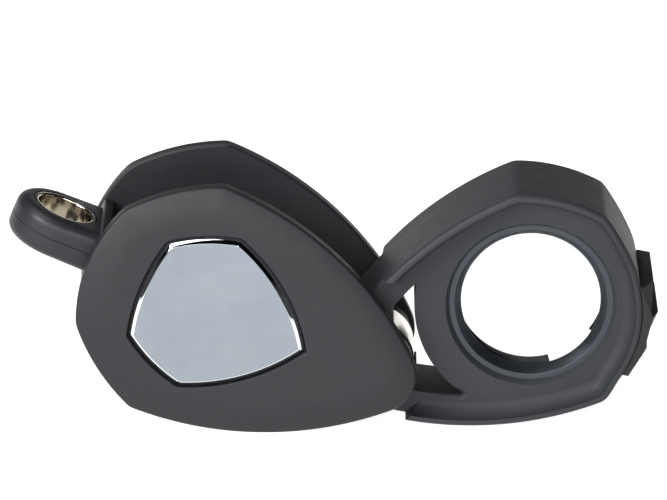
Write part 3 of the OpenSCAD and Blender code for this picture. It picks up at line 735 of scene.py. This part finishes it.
def loop_side(side):
    """One side's rings: parting line, full rounding, face and eyelet seat."""
    line = loop_ring(0.0, 0.0, side) * [1, 0, 1] + [0, 0.06 * side, 0]
    rounding = [loop_ring(LOOP_ROUND * (1 - math.cos(t)), LOOP_ROUND * (1 - math.sin(t)), side)
                for t in np.radians(np.linspace(0, 90, 8))]
    u, w = loop_outline(LOOP_ROUND + HOLD)
    face = [np.column_stack((u, side * half_thickness(u, w), w)),
            circle_ring(RECESS_R + 0.04, side), circle_ring(RECESS_R, side)]
    step = face[-1] - [0, HOLD * side, 0]
    seat = [circle_ring(SEAT_OUT, side, SEAT_HALF), circle_ring(HOLE_R, side, SEAT_HALF)]
    return [line, *rounding, *face, step, *seat]


groove = loop_ring(0.07, 0.0, 1) * [1, 0, 1]
stack = np.stack([groove, *loop_side(1), *loop_side(-1)[::-1]])
tab = (stack.reshape(-1, 3), ring_faces(len(stack), len(loop_phi), wrap=True))
add_piece("end_block_loop", "case", *join(block, tab), loop_finish,
          replaces=["end_block"], slot="loop")

# %% [markdown]
# ## Eyelet
# A tube of plated brass lines the hole. One end has a wide flange and the
# other is rolled over a washer when it is set. Carrying a rounded profile
# round the axis gives the soft rim that catches the light.

# %% Eyelet and washer
def about_eyelet(profile, segments=160):
    """A closed [radius, height] profile carried round the eyelet's axis:
    (LOOP_U + r cos a, -height, r sin a), because -v is the side that faces up."""
    prof = np.asarray(profile, float)
    a = np.linspace(0, 2 * math.pi, segments, endpoint=False)
    r = prof[:, :1]
    height = np.broadcast_to(-prof[:, 1:], (len(prof), segments))
    rings = np.dstack((LOOP_U + r * np.cos(a), height, r * np.sin(a)))
    return rings.reshape(-1, 3), ring_faces(len(prof), segments, wrap=True)


def arc_profile(centre_r, centre_h, radius, from_deg, to_deg, steps=8):
    """An arc in the profile plane: centre + radius (cos a, sin a)."""
    a = np.radians(np.linspace(from_deg, to_deg, steps + 1))
    return np.column_stack((centre_r + radius * np.cos(a), centre_h + radius * np.sin(a)))


TUBE_IN, TUBE_OUT, FLANGE_R, FLANGE_T = 3.7, 4.05, 4.4, 0.35
top = SEAT_HALF + FLANGE_T
bottom = -SEAT_HALF - 2 * FLANGE_T
under_flange = arc_profile(FLANGE_R - 0.15, SEAT_HALF + 0.15, 0.15, -90, 0, 4)
over_flange = arc_profile(FLANGE_R - 0.2, top - 0.2, 0.2, 0, 80, 5)
into_tube = arc_profile(TUBE_IN + 0.25, top - 0.25, 0.25, 95, 180, 8)
out_of_tube = arc_profile(TUBE_IN + 0.3, bottom + 0.3, 0.3, 180, 270, 6)
rolled_edge = arc_profile(TUBE_OUT + 0.035, bottom + 0.165, 0.165, -90, 90, 8)
tube = [[TUBE_OUT, bottom + FLANGE_T - 0.02], [TUBE_OUT, SEAT_HALF]]
eyelet_profile = np.vstack((under_flange, over_flange, into_tube, out_of_tube, rolled_edge, tube))
add_piece("eyelet_rolled", "case", *about_eyelet(eyelet_profile), eyelet_finish,
          hard=40, replaces=["loop_eyelet"], slot="eyelet")
WASHER_ROUND = 0.12
low = -SEAT_HALF - FLANGE_T
washer_profile = np.vstack((
    arc_profile(FLANGE_R - WASHER_ROUND, low + WASHER_ROUND, WASHER_ROUND, -90, 0, 4),
    arc_profile(FLANGE_R - WASHER_ROUND, -SEAT_HALF - WASHER_ROUND, WASHER_ROUND, 0, 90, 4),
    [[TUBE_OUT + 0.05, -SEAT_HALF], [TUBE_OUT + 0.05, low]]))
add_piece("eyelet_washer_ring", "case", *about_eyelet(washer_profile), eyelet_finish,
          hard=40, replaces=["eyelet_washer"], slot="eyelet")

# %% [markdown]
# ## The lens holder
# A web joins the hub to the lens barrel, and a raised lip with a hollow inside
# it runs round the edge. On the upper arm the lip ends short of the hub, and on
# the lower one it runs on to it. The lip could be a swept profile, but its
# height and width change on the way. Rings about the lens axis, each a small
# step in from the edge, take both as smooth functions of the place.

# %% Holder: edge and lip
HOLDER_Z, WEB_Z, LENS_U = 7.5, 5.2, 22.0
LIP_ROUND, LIP_CREST, COVE_W = 0.7, 0.2, 1.8
LIP_ENDS, HUB_RELIEF, HUB_SEAM, HUB_CLEAR = 12.0, 0.4, 0.8, 5.4
WIDENS, LEAST_WIDTH, UPPER_WIDENS = 2.8, 0.22, (6.0, 13.0)
holder_theta = ray_angles([HOLDER], LENS_U, RAYS)


def smooth(value, low, high):
    """0 below low, 1 above high, with level ends between: t^2 (3 - 2 t)."""
    t = np.clip((value - low) / (high - low), 0, 1)
    return t * t * (3 - 2 * t)


def fade(value, at, half_width):
    """A smooth step from 0 to 1 in the middle of which value is `at`."""
    return smooth(value, at - half_width, at + half_width)


GRIP_SEAT_U, GRIP_SEAT_R = 20.67, 15.82
SEAT_BEGINS, SEAT_ENDS = (-0.05, 0.22), (1.08, 1.30)


def holder_reach(theta, inset):
    """Reach of each ray to the holder's edge moved inwards by inset.

    Beside the grip the edge drops to a round seat about (GRIP_SEAT_U, 0): the
    reach is plain - share * (plain - seat), and the share eases in and out.
    """
    plain = outline_reach(HOLDER, LENS_U, theta, inset)
    theta, inset = np.broadcast_arrays(theta, inset)
    ray = np.stack((np.cos(theta), np.sin(theta)), axis=-1)
    seat = exit_reach((LENS_U, 0), ray, np.array([GRIP_SEAT_U, 0]), GRIP_SEAT_R - inset)
    share = smooth(-theta, *SEAT_BEGINS) * (1 - smooth(-theta, *SEAT_ENDS))
    return plain - share * np.maximum(plain - seat, 0)


def holder_points(inset):
    """The holder's edge as rings of points (u, v)."""
    theta = holder_theta[None, :]
    reach = holder_reach(theta, inset)
    return np.stack((LENS_U + reach * np.cos(theta), reach * np.sin(theta)), axis=-1)


def holder_edge():
    """Rings from the middle of the wall over the lip to the web, one side.

    On the upper arm the lip fades to nothing at LIP_ENDS from the pivot, on
    the lower one it runs on to the hub, and all insets shrink there. The
    rounding is a quarter circle. The hollow is a quarter ellipse that starts
    steep under the crest and ends level on the web.
    """
    at_edge = holder_points(np.zeros((1, 1)))[0]
    far = np.hypot(at_edge[:, 0], at_edge[:, 1])
    lower = (at_edge[:, 1] < 0) & (at_edge[:, 0] > HUB_SEAM - 0.1)
    lip = (HOLDER_Z - WEB_Z) * np.where(lower, fade(at_edge[:, 0], HUB_SEAM, 0.1),
                                        fade(far, LIP_ENDS, 0.15))
    width = np.where(lower, np.clip((far - HUB_CLEAR) / WIDENS, LEAST_WIDTH, 1),
                     0.1 + 0.9 * smooth(far, *UPPER_WIDENS))
    relief = HUB_RELIEF * (1 - fade(at_edge[:, 0], HUB_SEAM, 0.2))
    bend = np.radians(np.linspace(0, 90, 8))
    dip = np.radians(np.linspace(3, 90, 12))
    crest = LIP_ROUND + LIP_CREST
    rows = [(0 * width, 0 * width), (0 * width, WEB_Z + lip - LIP_ROUND * width - HOLD)]
    rows += [(LIP_ROUND * (1 - math.cos(t)) * width,
              WEB_Z + lip - LIP_ROUND * (1 - math.sin(t)) * width) for t in bend]
    rows += [(k * width, WEB_Z + lip) for k in (LIP_ROUND + HOLD, crest - HOLD, crest)]
    rows += [((crest + COVE_W * (1 - math.cos(t))) * width, WEB_Z + lip * (1 - math.sin(t)))
             for t in dip]
    rows += [((crest + COVE_W) * width + HOLD, WEB_Z + 0 * width)]
    inset = np.stack([r[0] for r in rows]) + relief
    height = np.stack([r[1] for r in rows])
    return np.dstack((holder_points(inset), height))


half = holder_edge()
print("edge rings:", half.shape)

# %% [markdown]
# ## The window between hub and barrel
# The arms keep an even width, so the window between them is bounded by the two
# side arcs moved inwards, by the barrel and by the hub, which a slot opens to
# the bush. The corners are worked out as crossings of circles. The mould's
# cutter leaves them round, which a blur along the loop gives all at once.

# %% Holder: the window's outline
def meeting(c0, r0, c1, r1, side):
    """Where two circles cross, left (+1) or right (-1) of the line between
    their centres: (gap^2 + r0^2 - r1^2) / (2 gap) along it, the rest square
    to it."""
    c0, c1 = np.asarray(c0, float), np.asarray(c1, float)
    gap = np.linalg.norm(c1 - c0)
    along = (c1 - c0) / gap
    run = (gap ** 2 + r0 ** 2 - r1 ** 2) / (2 * gap)
    rise = math.sqrt(r0 ** 2 - run ** 2)
    return c0 + along * run + side * rise * np.array([-along[1], along[0]])


def arc_between(centre, radius, p, q, turn):
    """Points centre + radius (cos t, sin t) from p to q, anticlockwise where
    turn is +1."""
    a = math.atan2(p[1] - centre[1], p[0] - centre[0])
    b = math.atan2(q[1] - centre[1], q[0] - centre[0])
    sweep = (b - a) % (2 * math.pi) if turn > 0 else -((a - b) % (2 * math.pi))
    t = a + np.linspace(0, sweep, 60)
    return np.column_stack((centre[0] + radius * np.cos(t), centre[1] + radius * np.sin(t)))


def even_loop(loop, count, blur):
    """Equal steps along a closed loop, its corners softened by a blur: wave k
    of its Fourier series is multiplied by exp(-2 (pi k blur)^2)."""
    closed = np.vstack((loop, loop[:1]))
    length = np.concatenate(([0], np.cumsum(np.hypot(*np.diff(closed, axis=0).T))))
    t = np.linspace(0, length[-1], 4 * count, endpoint=False)
    even = np.column_stack([np.interp(t, length, closed[:, k]) for k in (0, 1)])
    wave = np.fft.fftfreq(4 * count, length[-1] / (4 * count))
    soft = np.exp(-2 * (math.pi * wave * blur) ** 2)
    even = np.column_stack([np.fft.ifft(np.fft.fft(even[:, k]) * soft).real for k in (0, 1)])
    return even[::4]


ARM_W, BARREL_R, HUB_R, BORE_BUSH, BUSH_SLOT = 3.6, 15.3, 6.0, 5.13, 3.9
WINDOW_POINTS, CORNER_BLUR = 400, 0.45
side_c, side_r = HOLDER["arcs"][0]
mirror_c = side_c * [1, -1]
top_hub = meeting(side_c, side_r - ARM_W, (0, 0), HUB_R, -1)
top_barrel = meeting(side_c, side_r - ARM_W, (LENS_U, 0), BARREL_R, 1)
slot_hub = np.array([math.sqrt(HUB_R ** 2 - BUSH_SLOT ** 2), BUSH_SLOT])
slot_bore = np.array([math.sqrt(BORE_BUSH ** 2 - BUSH_SLOT ** 2), BUSH_SLOT])
down = np.array([1, -1])
window = np.vstack((
    arc_between((0, 0), HUB_R, top_hub, slot_hub, -1),
    arc_between((0, 0), BORE_BUSH, slot_bore, slot_bore * down, 1),
    arc_between((0, 0), HUB_R, slot_hub * down, top_hub * down, -1),
    arc_between(mirror_c, side_r - ARM_W, top_hub * down, top_barrel * down, 1),
    arc_between((LENS_U, 0), BARREL_R, top_barrel * down, top_barrel, -1),
    arc_between(side_c, side_r - ARM_W, top_barrel, top_hub, 1)))
window = even_loop(window, WINDOW_POINTS, CORNER_BLUR)
ahead = np.roll(window, -1, axis=0)
area = 0.5 * np.sum(window[:, 0] * ahead[:, 1] - ahead[:, 0] * window[:, 1])
print("window area", round(area, 2), "mm2, corners at", top_hub.round(2), top_barrel.round(2))

# %% [markdown]
# ## Walls of the window and of the lens bore
# A hole's wall is its loop repeated down the holder, a little wider at both
# ends for the rounded edge. On the lower arm the photograph shows a broad soft
# edge towards the viewer, so there the front rounding grows with the distance
# from the middle line. The bore has an overhang that hides the lens cell's rim.

# %% Holder: walls
EDGE = 0.10


def hole_wall(loop, profile):
    """Rings of a hole's wall: the loop moved outwards by each [outset, z]."""
    return np.stack([np.column_stack((loop_offset(loop, o), np.full(len(loop), z)))
                     for o, z in profile])


def both_edges(low, high):
    """[outset, z] down a straight hole, five rows for each rounded edge:
    outset r (1 - sin t) at r (1 - cos t) from the flat."""
    a = np.radians(np.linspace(0, 90, 4))
    drop = [(EDGE + HOLD, 0)] + [(EDGE * (1 - math.sin(t)), EDGE * (1 - math.cos(t))) for t in a]
    return [(o, high - z) for o, z in drop] + [(o, low + z) for o, z in drop[::-1]]


def circle(centre, radius, count):
    """An anticlockwise circle: centre + radius (cos a, sin a)."""
    a = np.linspace(0, 2 * math.pi, count, endpoint=False)
    return np.column_stack((centre[0] + radius * np.cos(a), centre[1] + radius * np.sin(a)))


ARM_ROUND = 0.65
front_round = EDGE + ARM_ROUND * smooth(-window[:, 1], 6.5, 8.5)
outward = loop_offset(window, 1.0) - window
bend = np.radians(np.linspace(0, 90, 6))
window_front = [np.column_stack((window + outward * (front_round * (1 - math.sin(t)))[:, None],
                                 WEB_Z - front_round * (1 - math.cos(t)))) for t in bend]
window_front.insert(0, window_front[0] + np.column_stack((outward * HOLD, 0 * front_round)))
window_back = hole_wall(window, both_edges(-WEB_Z, WEB_Z)[5:])
window_wall = np.concatenate((np.stack(window_front), window_back))
BORE_R, MOUTH, OVERHANG = 11.2, 0.9, 0.5
# rounded edge, slanting mouth, overhang, straight bore and rounded edge at the back
mouth = [(EDGE + HOLD, WEB_Z), (EDGE, WEB_Z), (0.02, WEB_Z - 0.02), (-0.04, WEB_Z - EDGE),
         (-OVERHANG + 0.03, WEB_Z - MOUTH + 0.06), (-OVERHANG, WEB_Z - MOUTH),
         (0, WEB_Z - MOUTH), (0, -WEB_Z + EDGE), (0.03, -WEB_Z + 0.03), (EDGE, -WEB_Z),
         (EDGE + HOLD, -WEB_Z)]
mouth_wall = hole_wall(circle((LENS_U, 0), BORE_R, 256), mouth)
print("walls:", window_wall.shape, mouth_wall.shape)

# %% Holder: the walls joined by the web
edge_rings = np.concatenate((half[::-1] * [1, 1, -1], half[1:]))
tables = [edge_rings, window_wall, mouth_wall]
starts = np.cumsum([0] + [t.shape[0] * t.shape[1] for t in tables])
points = np.vstack([t.reshape(-1, 3) for t in tables])
outside, *holes = [ring_faces(*t.shape[:2], int(start)) for t, start in zip(tables, starts)]
faces = [f[::-1] for f in outside] + holes[0] + holes[1]


def last_ring(k):
    """Indices of a table's last ring: start + (rings - 1) count + j."""
    rings, count = tables[k].shape[:2]
    return starts[k] + (rings - 1) * count + np.arange(count)


def first_ring(k):
    """Indices of a table's first ring: start + j."""
    return starts[k] + np.arange(tables[k].shape[1])


front_ids = np.concatenate((last_ring(0), first_ring(1), first_ring(2)))
back_ids = np.concatenate((first_ring(0), last_ring(1), last_ring(2)))
fill = np.array(fill_flat(half[-1, :, :2], [window_wall[0, :, :2], mouth_wall[0, :, :2]]))
faces += front_ids[fill].tolist() + back_ids[fill][:, ::-1].tolist()
add_piece("holder_web", "lens_holder", points, faces, holder_finish,
          hard=30, replaces=["holder_frame"], slot="holder")

# %% [markdown]
# ## Thumb grip
# A ribbed pad on the far corner of the holder, under the thumb that swings it.
# It is one section with three slanting ribs. At both ends the crests sink back
# to the root line, which makes the sloping ends, and a small bevel softens it.

# %% Ribbed section
seat_t = np.linspace(-0.155, -0.955, 14)
seat_r = GRIP_SEAT_R - 0.06
seat_line = np.column_stack((GRIP_SEAT_U + seat_r * np.cos(seat_t), seat_r * np.sin(seat_t)))
# from the far side: a root, then crest and root of each rib in turn
ribs = np.array([(30.357, -13.262), (33.886, -11.141), (34.409, -9.591), (37.112, -6.9),
                 (36.287, -6.65), (38.096, -2.7), (36.596, -2.45)])
root_line = np.vstack((seat_line, ribs))
sunk = root_line.copy()
# the third rib's crest sinks square to the holder's flank, the others' sideways
flank = np.array([35.7, -8.3]) - np.array([26, -15.5])
flank_out = np.array([flank[1], -flank[0]]) / np.linalg.norm(flank)
ROOT_3, CREST_3, CREST_2, ROOT_1, CREST_1 = len(seat_t) + np.array([0, 1, 3, 4, 5])
sunk[CREST_3] -= flank_out * ((root_line[CREST_3] - root_line[ROOT_3]) @ flank_out)
sunk[CREST_2, 0] = sunk[CREST_1, 0] = root_line[ROOT_1, 0]
GRIP_HALF_LEN, RIB_HALF_LEN = 7.3, 5.6
levels = [(-GRIP_HALF_LEN, sunk), (-GRIP_HALF_LEN + 0.1, sunk), (-RIB_HALF_LEN, root_line),
          (RIB_HALF_LEN, root_line), (GRIP_HALF_LEN - 0.1, sunk), (GRIP_HALF_LEN, sunk)]
grip_rings = np.stack([np.column_stack((xy, np.full(len(xy), z))) for z, xy in levels])
grip_n = len(root_line)
grip_faces = ring_faces(len(levels), grip_n)
grip_fill = fill_flat(sunk, [])
grip_faces += grip_fill
grip_faces += [[i + (len(levels) - 1) * grip_n for i in f[::-1]] for f in grip_fill]
grip = add_piece("thumb_grip_ribs", "lens_holder", grip_rings.reshape(-1, 3), grip_faces,
                 grip_finish, hard=25, replaces=["thumb_grip"], slot="grip")
bevel = grip.modifiers.new("soft_edges", "BEVEL")
bevel.width, bevel.segments, bevel.limit_method = 0.14 * MM, 3, "ANGLE"
bevel.angle_limit = math.radians(14)

# %% [markdown]
# ## Turned parts
# The bush, the lens cell and the rings are all turned on a lathe, so each is a
# profile carried round an axis. The retaining ring is sprung into its groove
# and has a gap, so its profile stops short of a full turn and gets two ends.

# %% Bush, cell and rings
BUSH_IN, BUSH_R, BUSH_Z = 2.55, 5.1, 3.5
bush_profile = [[BUSH_IN, -BUSH_Z + 0.2], [BUSH_IN + 0.2, -BUSH_Z], [BUSH_R - 0.25, -BUSH_Z],
                [BUSH_R, -BUSH_Z + 0.25], [BUSH_R, BUSH_Z - 0.25], [BUSH_R - 0.25, BUSH_Z],
                [BUSH_IN + 0.2, BUSH_Z], [BUSH_IN, BUSH_Z - 0.2]]
add_piece("pivot_bush_turned", "lens_holder", *ring_solid(bush_profile, 0.0), bush_finish,
          replaces=["pivot_bush"], slot="bush")

LENS_R, LENS_MID = 10.0, -0.5
CELL_R, CELL_FRONT, SEAT_R, SEAT_Z, SNAP_Z = 11.15, 4.3, 9.15, 2.75, -4.11
cell_profile = [[CELL_R, -WEB_Z + 0.1], [CELL_R, CELL_FRONT - 0.05], [CELL_R - 0.05, CELL_FRONT],
                [LENS_R + 0.06, CELL_FRONT], [LENS_R, CELL_FRONT - 0.03],
                [SEAT_R + 0.03, SEAT_Z + 0.30], [SEAT_R, SEAT_Z + 0.22], [SEAT_R, SEAT_Z],
                [LENS_R + 0.05, SEAT_Z], [LENS_R + 0.05, SNAP_Z + 0.05],
                [LENS_R + 0.55, SNAP_Z + 0.05], [LENS_R + 0.55, SNAP_Z - 0.65],
                [LENS_R + 0.05, SNAP_Z - 0.65], [LENS_R + 0.05, -WEB_Z + 0.08],
                [LENS_R + 0.13, -WEB_Z], [CELL_R - 0.1, -WEB_Z]]
add_piece("lens_cell_turned", "lens_holder", *ring_solid(cell_profile, LENS_U, 256),
          cell_finish, hard=25, replaces=["lens_cell"], slot="cell")
STOP_Z, STOP_T, STOP_IN = -3.56, 0.5, LENS_R - 0.4
stop_profile = [[STOP_IN, STOP_Z - STOP_T + 0.05], [STOP_IN + 0.05, STOP_Z - STOP_T],
                [LENS_R, STOP_Z - STOP_T], [LENS_R, STOP_Z], [STOP_IN + 0.05, STOP_Z],
                [STOP_IN, STOP_Z - 0.05]]
add_piece("stop_ring_black", "lens_holder", *ring_solid(stop_profile, LENS_U), stop_finish,
          replaces=["stop_ring"], slot="stop")

# %% Retaining ring with its gap
GAP_TURN, GAP_HALF = -79.0, 19.0
SNAP_IN, SNAP_OUT, SNAP_T, BREAK = 8.65, 10.5, 0.6, 0.08
snap_profile = np.array([[SNAP_IN, SNAP_Z - SNAP_T + BREAK], [SNAP_IN + BREAK, SNAP_Z - SNAP_T],
                         [SNAP_OUT, SNAP_Z - SNAP_T], [SNAP_OUT, SNAP_Z],
                         [SNAP_IN + BREAK, SNAP_Z], [SNAP_IN, SNAP_Z - BREAK]])
snap_a = np.radians(GAP_TURN + GAP_HALF + np.linspace(0, 360 - 2 * GAP_HALF, 181))
snap_rings = np.dstack((LENS_U + np.outer(np.cos(snap_a), snap_profile[:, 0]),
                        np.outer(np.sin(snap_a), snap_profile[:, 0]),
                        np.broadcast_to(snap_profile[:, 1], (len(snap_a), len(snap_profile)))))
add_piece("retaining_ring_open", "lens_holder", *capped(snap_rings), stop_finish,
          replaces=["retaining_ring"], slot="stop")

# %% [markdown]
# ## The cemented triplet
# A strong biconvex lens stands between two menisci. Each surface is part of a
# sphere: at radius r it lies R - sqrt(R^2 - r^2) below its top. Fine rings keep
# the refracted picture smooth.

# %% Lens pieces
def sphere_cap(curve, top, radii):
    """Height of a spherical face: top - (R - sqrt(R^2 - r^2))."""
    return top - (curve - np.sqrt(curve ** 2 - radii ** 2))


OUTER_CURVE, INNER_CURVE, MIDDLE_EDGE, CEMENT, OUTER_MIDDLE = 24.0, 18.0, 0.9, 0.03, 1.5
middle_half = MIDDLE_EDGE / 2 + INNER_CURVE - math.sqrt(INNER_CURVE ** 2 - LENS_R ** 2)
lens_half = middle_half + CEMENT + OUTER_MIDDLE
radii = np.linspace(0.1, LENS_R, 56)
LENS_SEGMENTS = 200


def lens_piece(name, node_name, upper, lower, outer_up, outer_low, sign):
    """A lens between two faces, its rim in between.

    upper and lower are heights at the radii; outer_up and outer_low are the
    material numbers of the two faces.
    """
    prof = np.column_stack((np.append(radii, radii[::-1]), np.append(lower, upper[::-1])))
    prof[:, 1] = LENS_MID + sign * prof[:, 1]
    rings = revolve(prof, LENS_U, LENS_SEGMENTS)
    points, faces = close_loft(rings, LENS_U)
    piece = add_piece(name, "lens_holder", points, faces, glass_finishes, hard=30,
                      replaces=[node_name], slot="lens")
    band = np.repeat(np.arange(len(prof) - 1), LENS_SEGMENTS)
    rim = len(radii) - 1
    kind = np.select([band < rim, band == rim], [outer_low, GROUND], outer_up)
    kind = np.append(kind, np.repeat([outer_low, outer_up], LENS_SEGMENTS))
    piece.data.polygons.foreach_set("material_index", kind.astype(np.int32))
    return piece


inner_face = sphere_cap(INNER_CURVE, middle_half, radii)
outer_face = sphere_cap(OUTER_CURVE, lens_half, radii)
for name, node_name, sign in (("front_meniscus", "front_lens", 1),
                              ("rear_meniscus", "rear_lens", -1)):
    lens_piece(name, node_name, outer_face, inner_face + CEMENT, POLISHED, CEMENTED, sign)
lens_piece("middle_biconvex", "middle_lens", inner_face, -inner_face, CEMENTED, CEMENTED, 1)

# %% [markdown]
# ## Pieces that stay as the CAD made them
# Pin, screws, inserts, washers and the adhesive sheet are plain turned or flat
# parts, mostly inside. They keep their CAD shapes and get their finishes.

# %% Finishes for the CAD nodes
kept = {"pivot_pin": steel_finish, "pivot_screw": dark_steel_finish,
        "case_screws": dark_steel_finish, "threaded_inserts": brass_finish,
        "thrust_washer": washer_finish, "spring_washer": steel_finish,
        "plate_adhesive": glue_finish}
for name, finish in kept.items():
    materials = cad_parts[name].data.materials
    materials.clear()
    materials.append(finish)
print("CAD nodes kept:", len(kept))

# %% [markdown]
# ## Stand, light and camera
# A pale floor that glows a little, as a lit light table does, and a white wall
# behind it give the shadowless ground of a product photograph. The rest of the
# room is dark, so that glossy faces keep their depth. Three soft boxes stand in
# front, at the left and above.

# %% Floor
floor_finish, floor_shader, floor_place = new_finish(
    "floor_white", Roughness=0.9, Emission_Strength=1.0)
tree = floor_finish.node_tree
cloud = add_noise(tree, floor_place, 0.01)
tree.links.new(tint(tree, cloud, (0.45, 0.45, 0.45), (0.50, 0.50, 0.50)),
               floor_shader.inputs["Base Color"])
tree.links.new(tint(tree, cloud, (0.90, 0.90, 0.90), (0.93, 0.93, 0.93)),
               floor_shader.inputs["Emission Color"])
floor_mesh = bpy.data.meshes.new("floor")
FLOOR = 6.0
corners = [(-FLOOR, -FLOOR, 0), (FLOOR, -FLOOR, 0), (FLOOR, FLOOR, 0), (-FLOOR, FLOOR, 0)]
floor_mesh.from_pydata(corners, [], [(0, 1, 2, 3)])
floor_mesh.materials.append(floor_finish)
floor = bpy.data.objects.new("floor", floor_mesh)
bpy.context.scene.collection.objects.link(floor)
print("floor:", 2 * FLOOR, "m wide")

# %% [markdown]
# ## Walls and soft boxes
# A studio's bright back wall and dark room could be modelled, but a world whose
# strength depends on the direction lights the same and stays out of the way.
# It is strong behind the loupe and low down, and fades upwards and to the front.
# The soft boxes are area lamps, set by their direction as seen from the loupe.

# %% The room
scene = bpy.context.scene
scene.view_settings.view_transform = "Standard"
scene.view_settings.look = "None"
world = bpy.data.worlds.new("studio")
scene.world = world
world.use_nodes = True
sky = world.node_tree
wall = sky.nodes["Background"]
spot = node(sky, "ShaderNodeTexCoord")
split = node(sky, "ShaderNodeSeparateXYZ")
sky.links.new(spot.outputs["Generated"], split.inputs["Vector"])
behind = node(sky, "ShaderNodeMapRange", interpolation_type="SMOOTHSTEP")
above = node(sky, "ShaderNodeMapRange", interpolation_type="SMOOTHSTEP")
for ramp, axis, numbers in ((behind, "Y", (0.35, 0.75, 0.06, 1.15)),
                            (above, "Z", (0.12, 0.28, 1.0, 0.05))):
    for key, number in zip(("From Min", "From Max", "To Min", "To Max"), numbers):
        ramp.inputs[key].default_value = number
    sky.links.new(split.outputs[axis], ramp.inputs["Value"])
product = node(sky, "ShaderNodeMath", operation="MULTIPLY")
sky.links.new(behind.outputs["Result"], product.inputs[0])
sky.links.new(above.outputs["Result"], product.inputs[1])
sky.links.new(product.outputs["Value"], wall.inputs["Strength"])
wall.inputs["Color"].default_value = (1.0, 1.0, 1.0, 1)
print("room:", len(sky.nodes), "nodes")

# %% Lamps
def soft_lamp(name, power, size, at, toward=(0, 0, 0.02)):
    """A square area lamp that looks from one point towards another."""
    data = bpy.data.lights.new(name, "AREA")
    data.energy, data.shape, data.size = power, "SQUARE", size
    lamp = bpy.data.objects.new(name, data)
    scene.collection.objects.link(lamp)
    aim = Vector(toward) - Vector(at)
    lamp.matrix_world = Matrix.LocRotScale(Vector(at), aim.to_track_quat("-Z", "Y"), None)
    return lamp


def around(azimuth, elevation, reach=1.0):
    """A point on a sphere about the loupe, azimuth 0 on the viewer's side:
    r (sin a cos e, -cos a cos e, sin e)."""
    a, e = math.radians(azimuth), math.radians(elevation)
    return (reach * math.sin(a) * math.cos(e), -reach * math.cos(a) * math.cos(e),
            reach * math.sin(e) + 0.02)


soft_lamp("front", 11.5, 0.9, around(-4, 12))
soft_lamp("left", 12.0, 0.45, around(-50, 28))
soft_lamp("upper_left", 4.5, 0.6, around(-60, 70))
print("lamps:", [lamp.name for lamp in bpy.data.lights])

# %% [markdown]
# ## Camera
# A long lens from a little above the middle, as the photograph was taken. The
# angles come from fitting the covers' and the holder's outlines to the picture.

# %% Camera
AIM = Vector((0.061, -9.75, 25.522)) * MM
AZIMUTH, ELEVATION, DISTANCE = math.radians(0.22), math.radians(19.62), 0.785
away = Vector((math.sin(AZIMUTH) * math.cos(ELEVATION),
               -math.cos(AZIMUTH) * math.cos(ELEVATION), math.sin(ELEVATION)))
camera_data = bpy.data.cameras.new("view")
camera_data.sensor_width, camera_data.lens = 36.0, 327.1
camera_data.clip_start, camera_data.clip_end = 0.05, 20
camera = bpy.data.objects.new("view", camera_data)
scene.collection.objects.link(camera)
turn = (-away).to_track_quat("-Z", "Y")
camera.matrix_world = Matrix.LocRotScale(AIM + away * DISTANCE, turn, None)
scene.camera = camera
print("camera", DISTANCE, "m away, lens", camera_data.lens, "mm")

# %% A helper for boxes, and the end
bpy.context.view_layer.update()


def plain(box):
    """A box as nested lists of numbers."""
    return [[float(n) for n in row] for row in box]
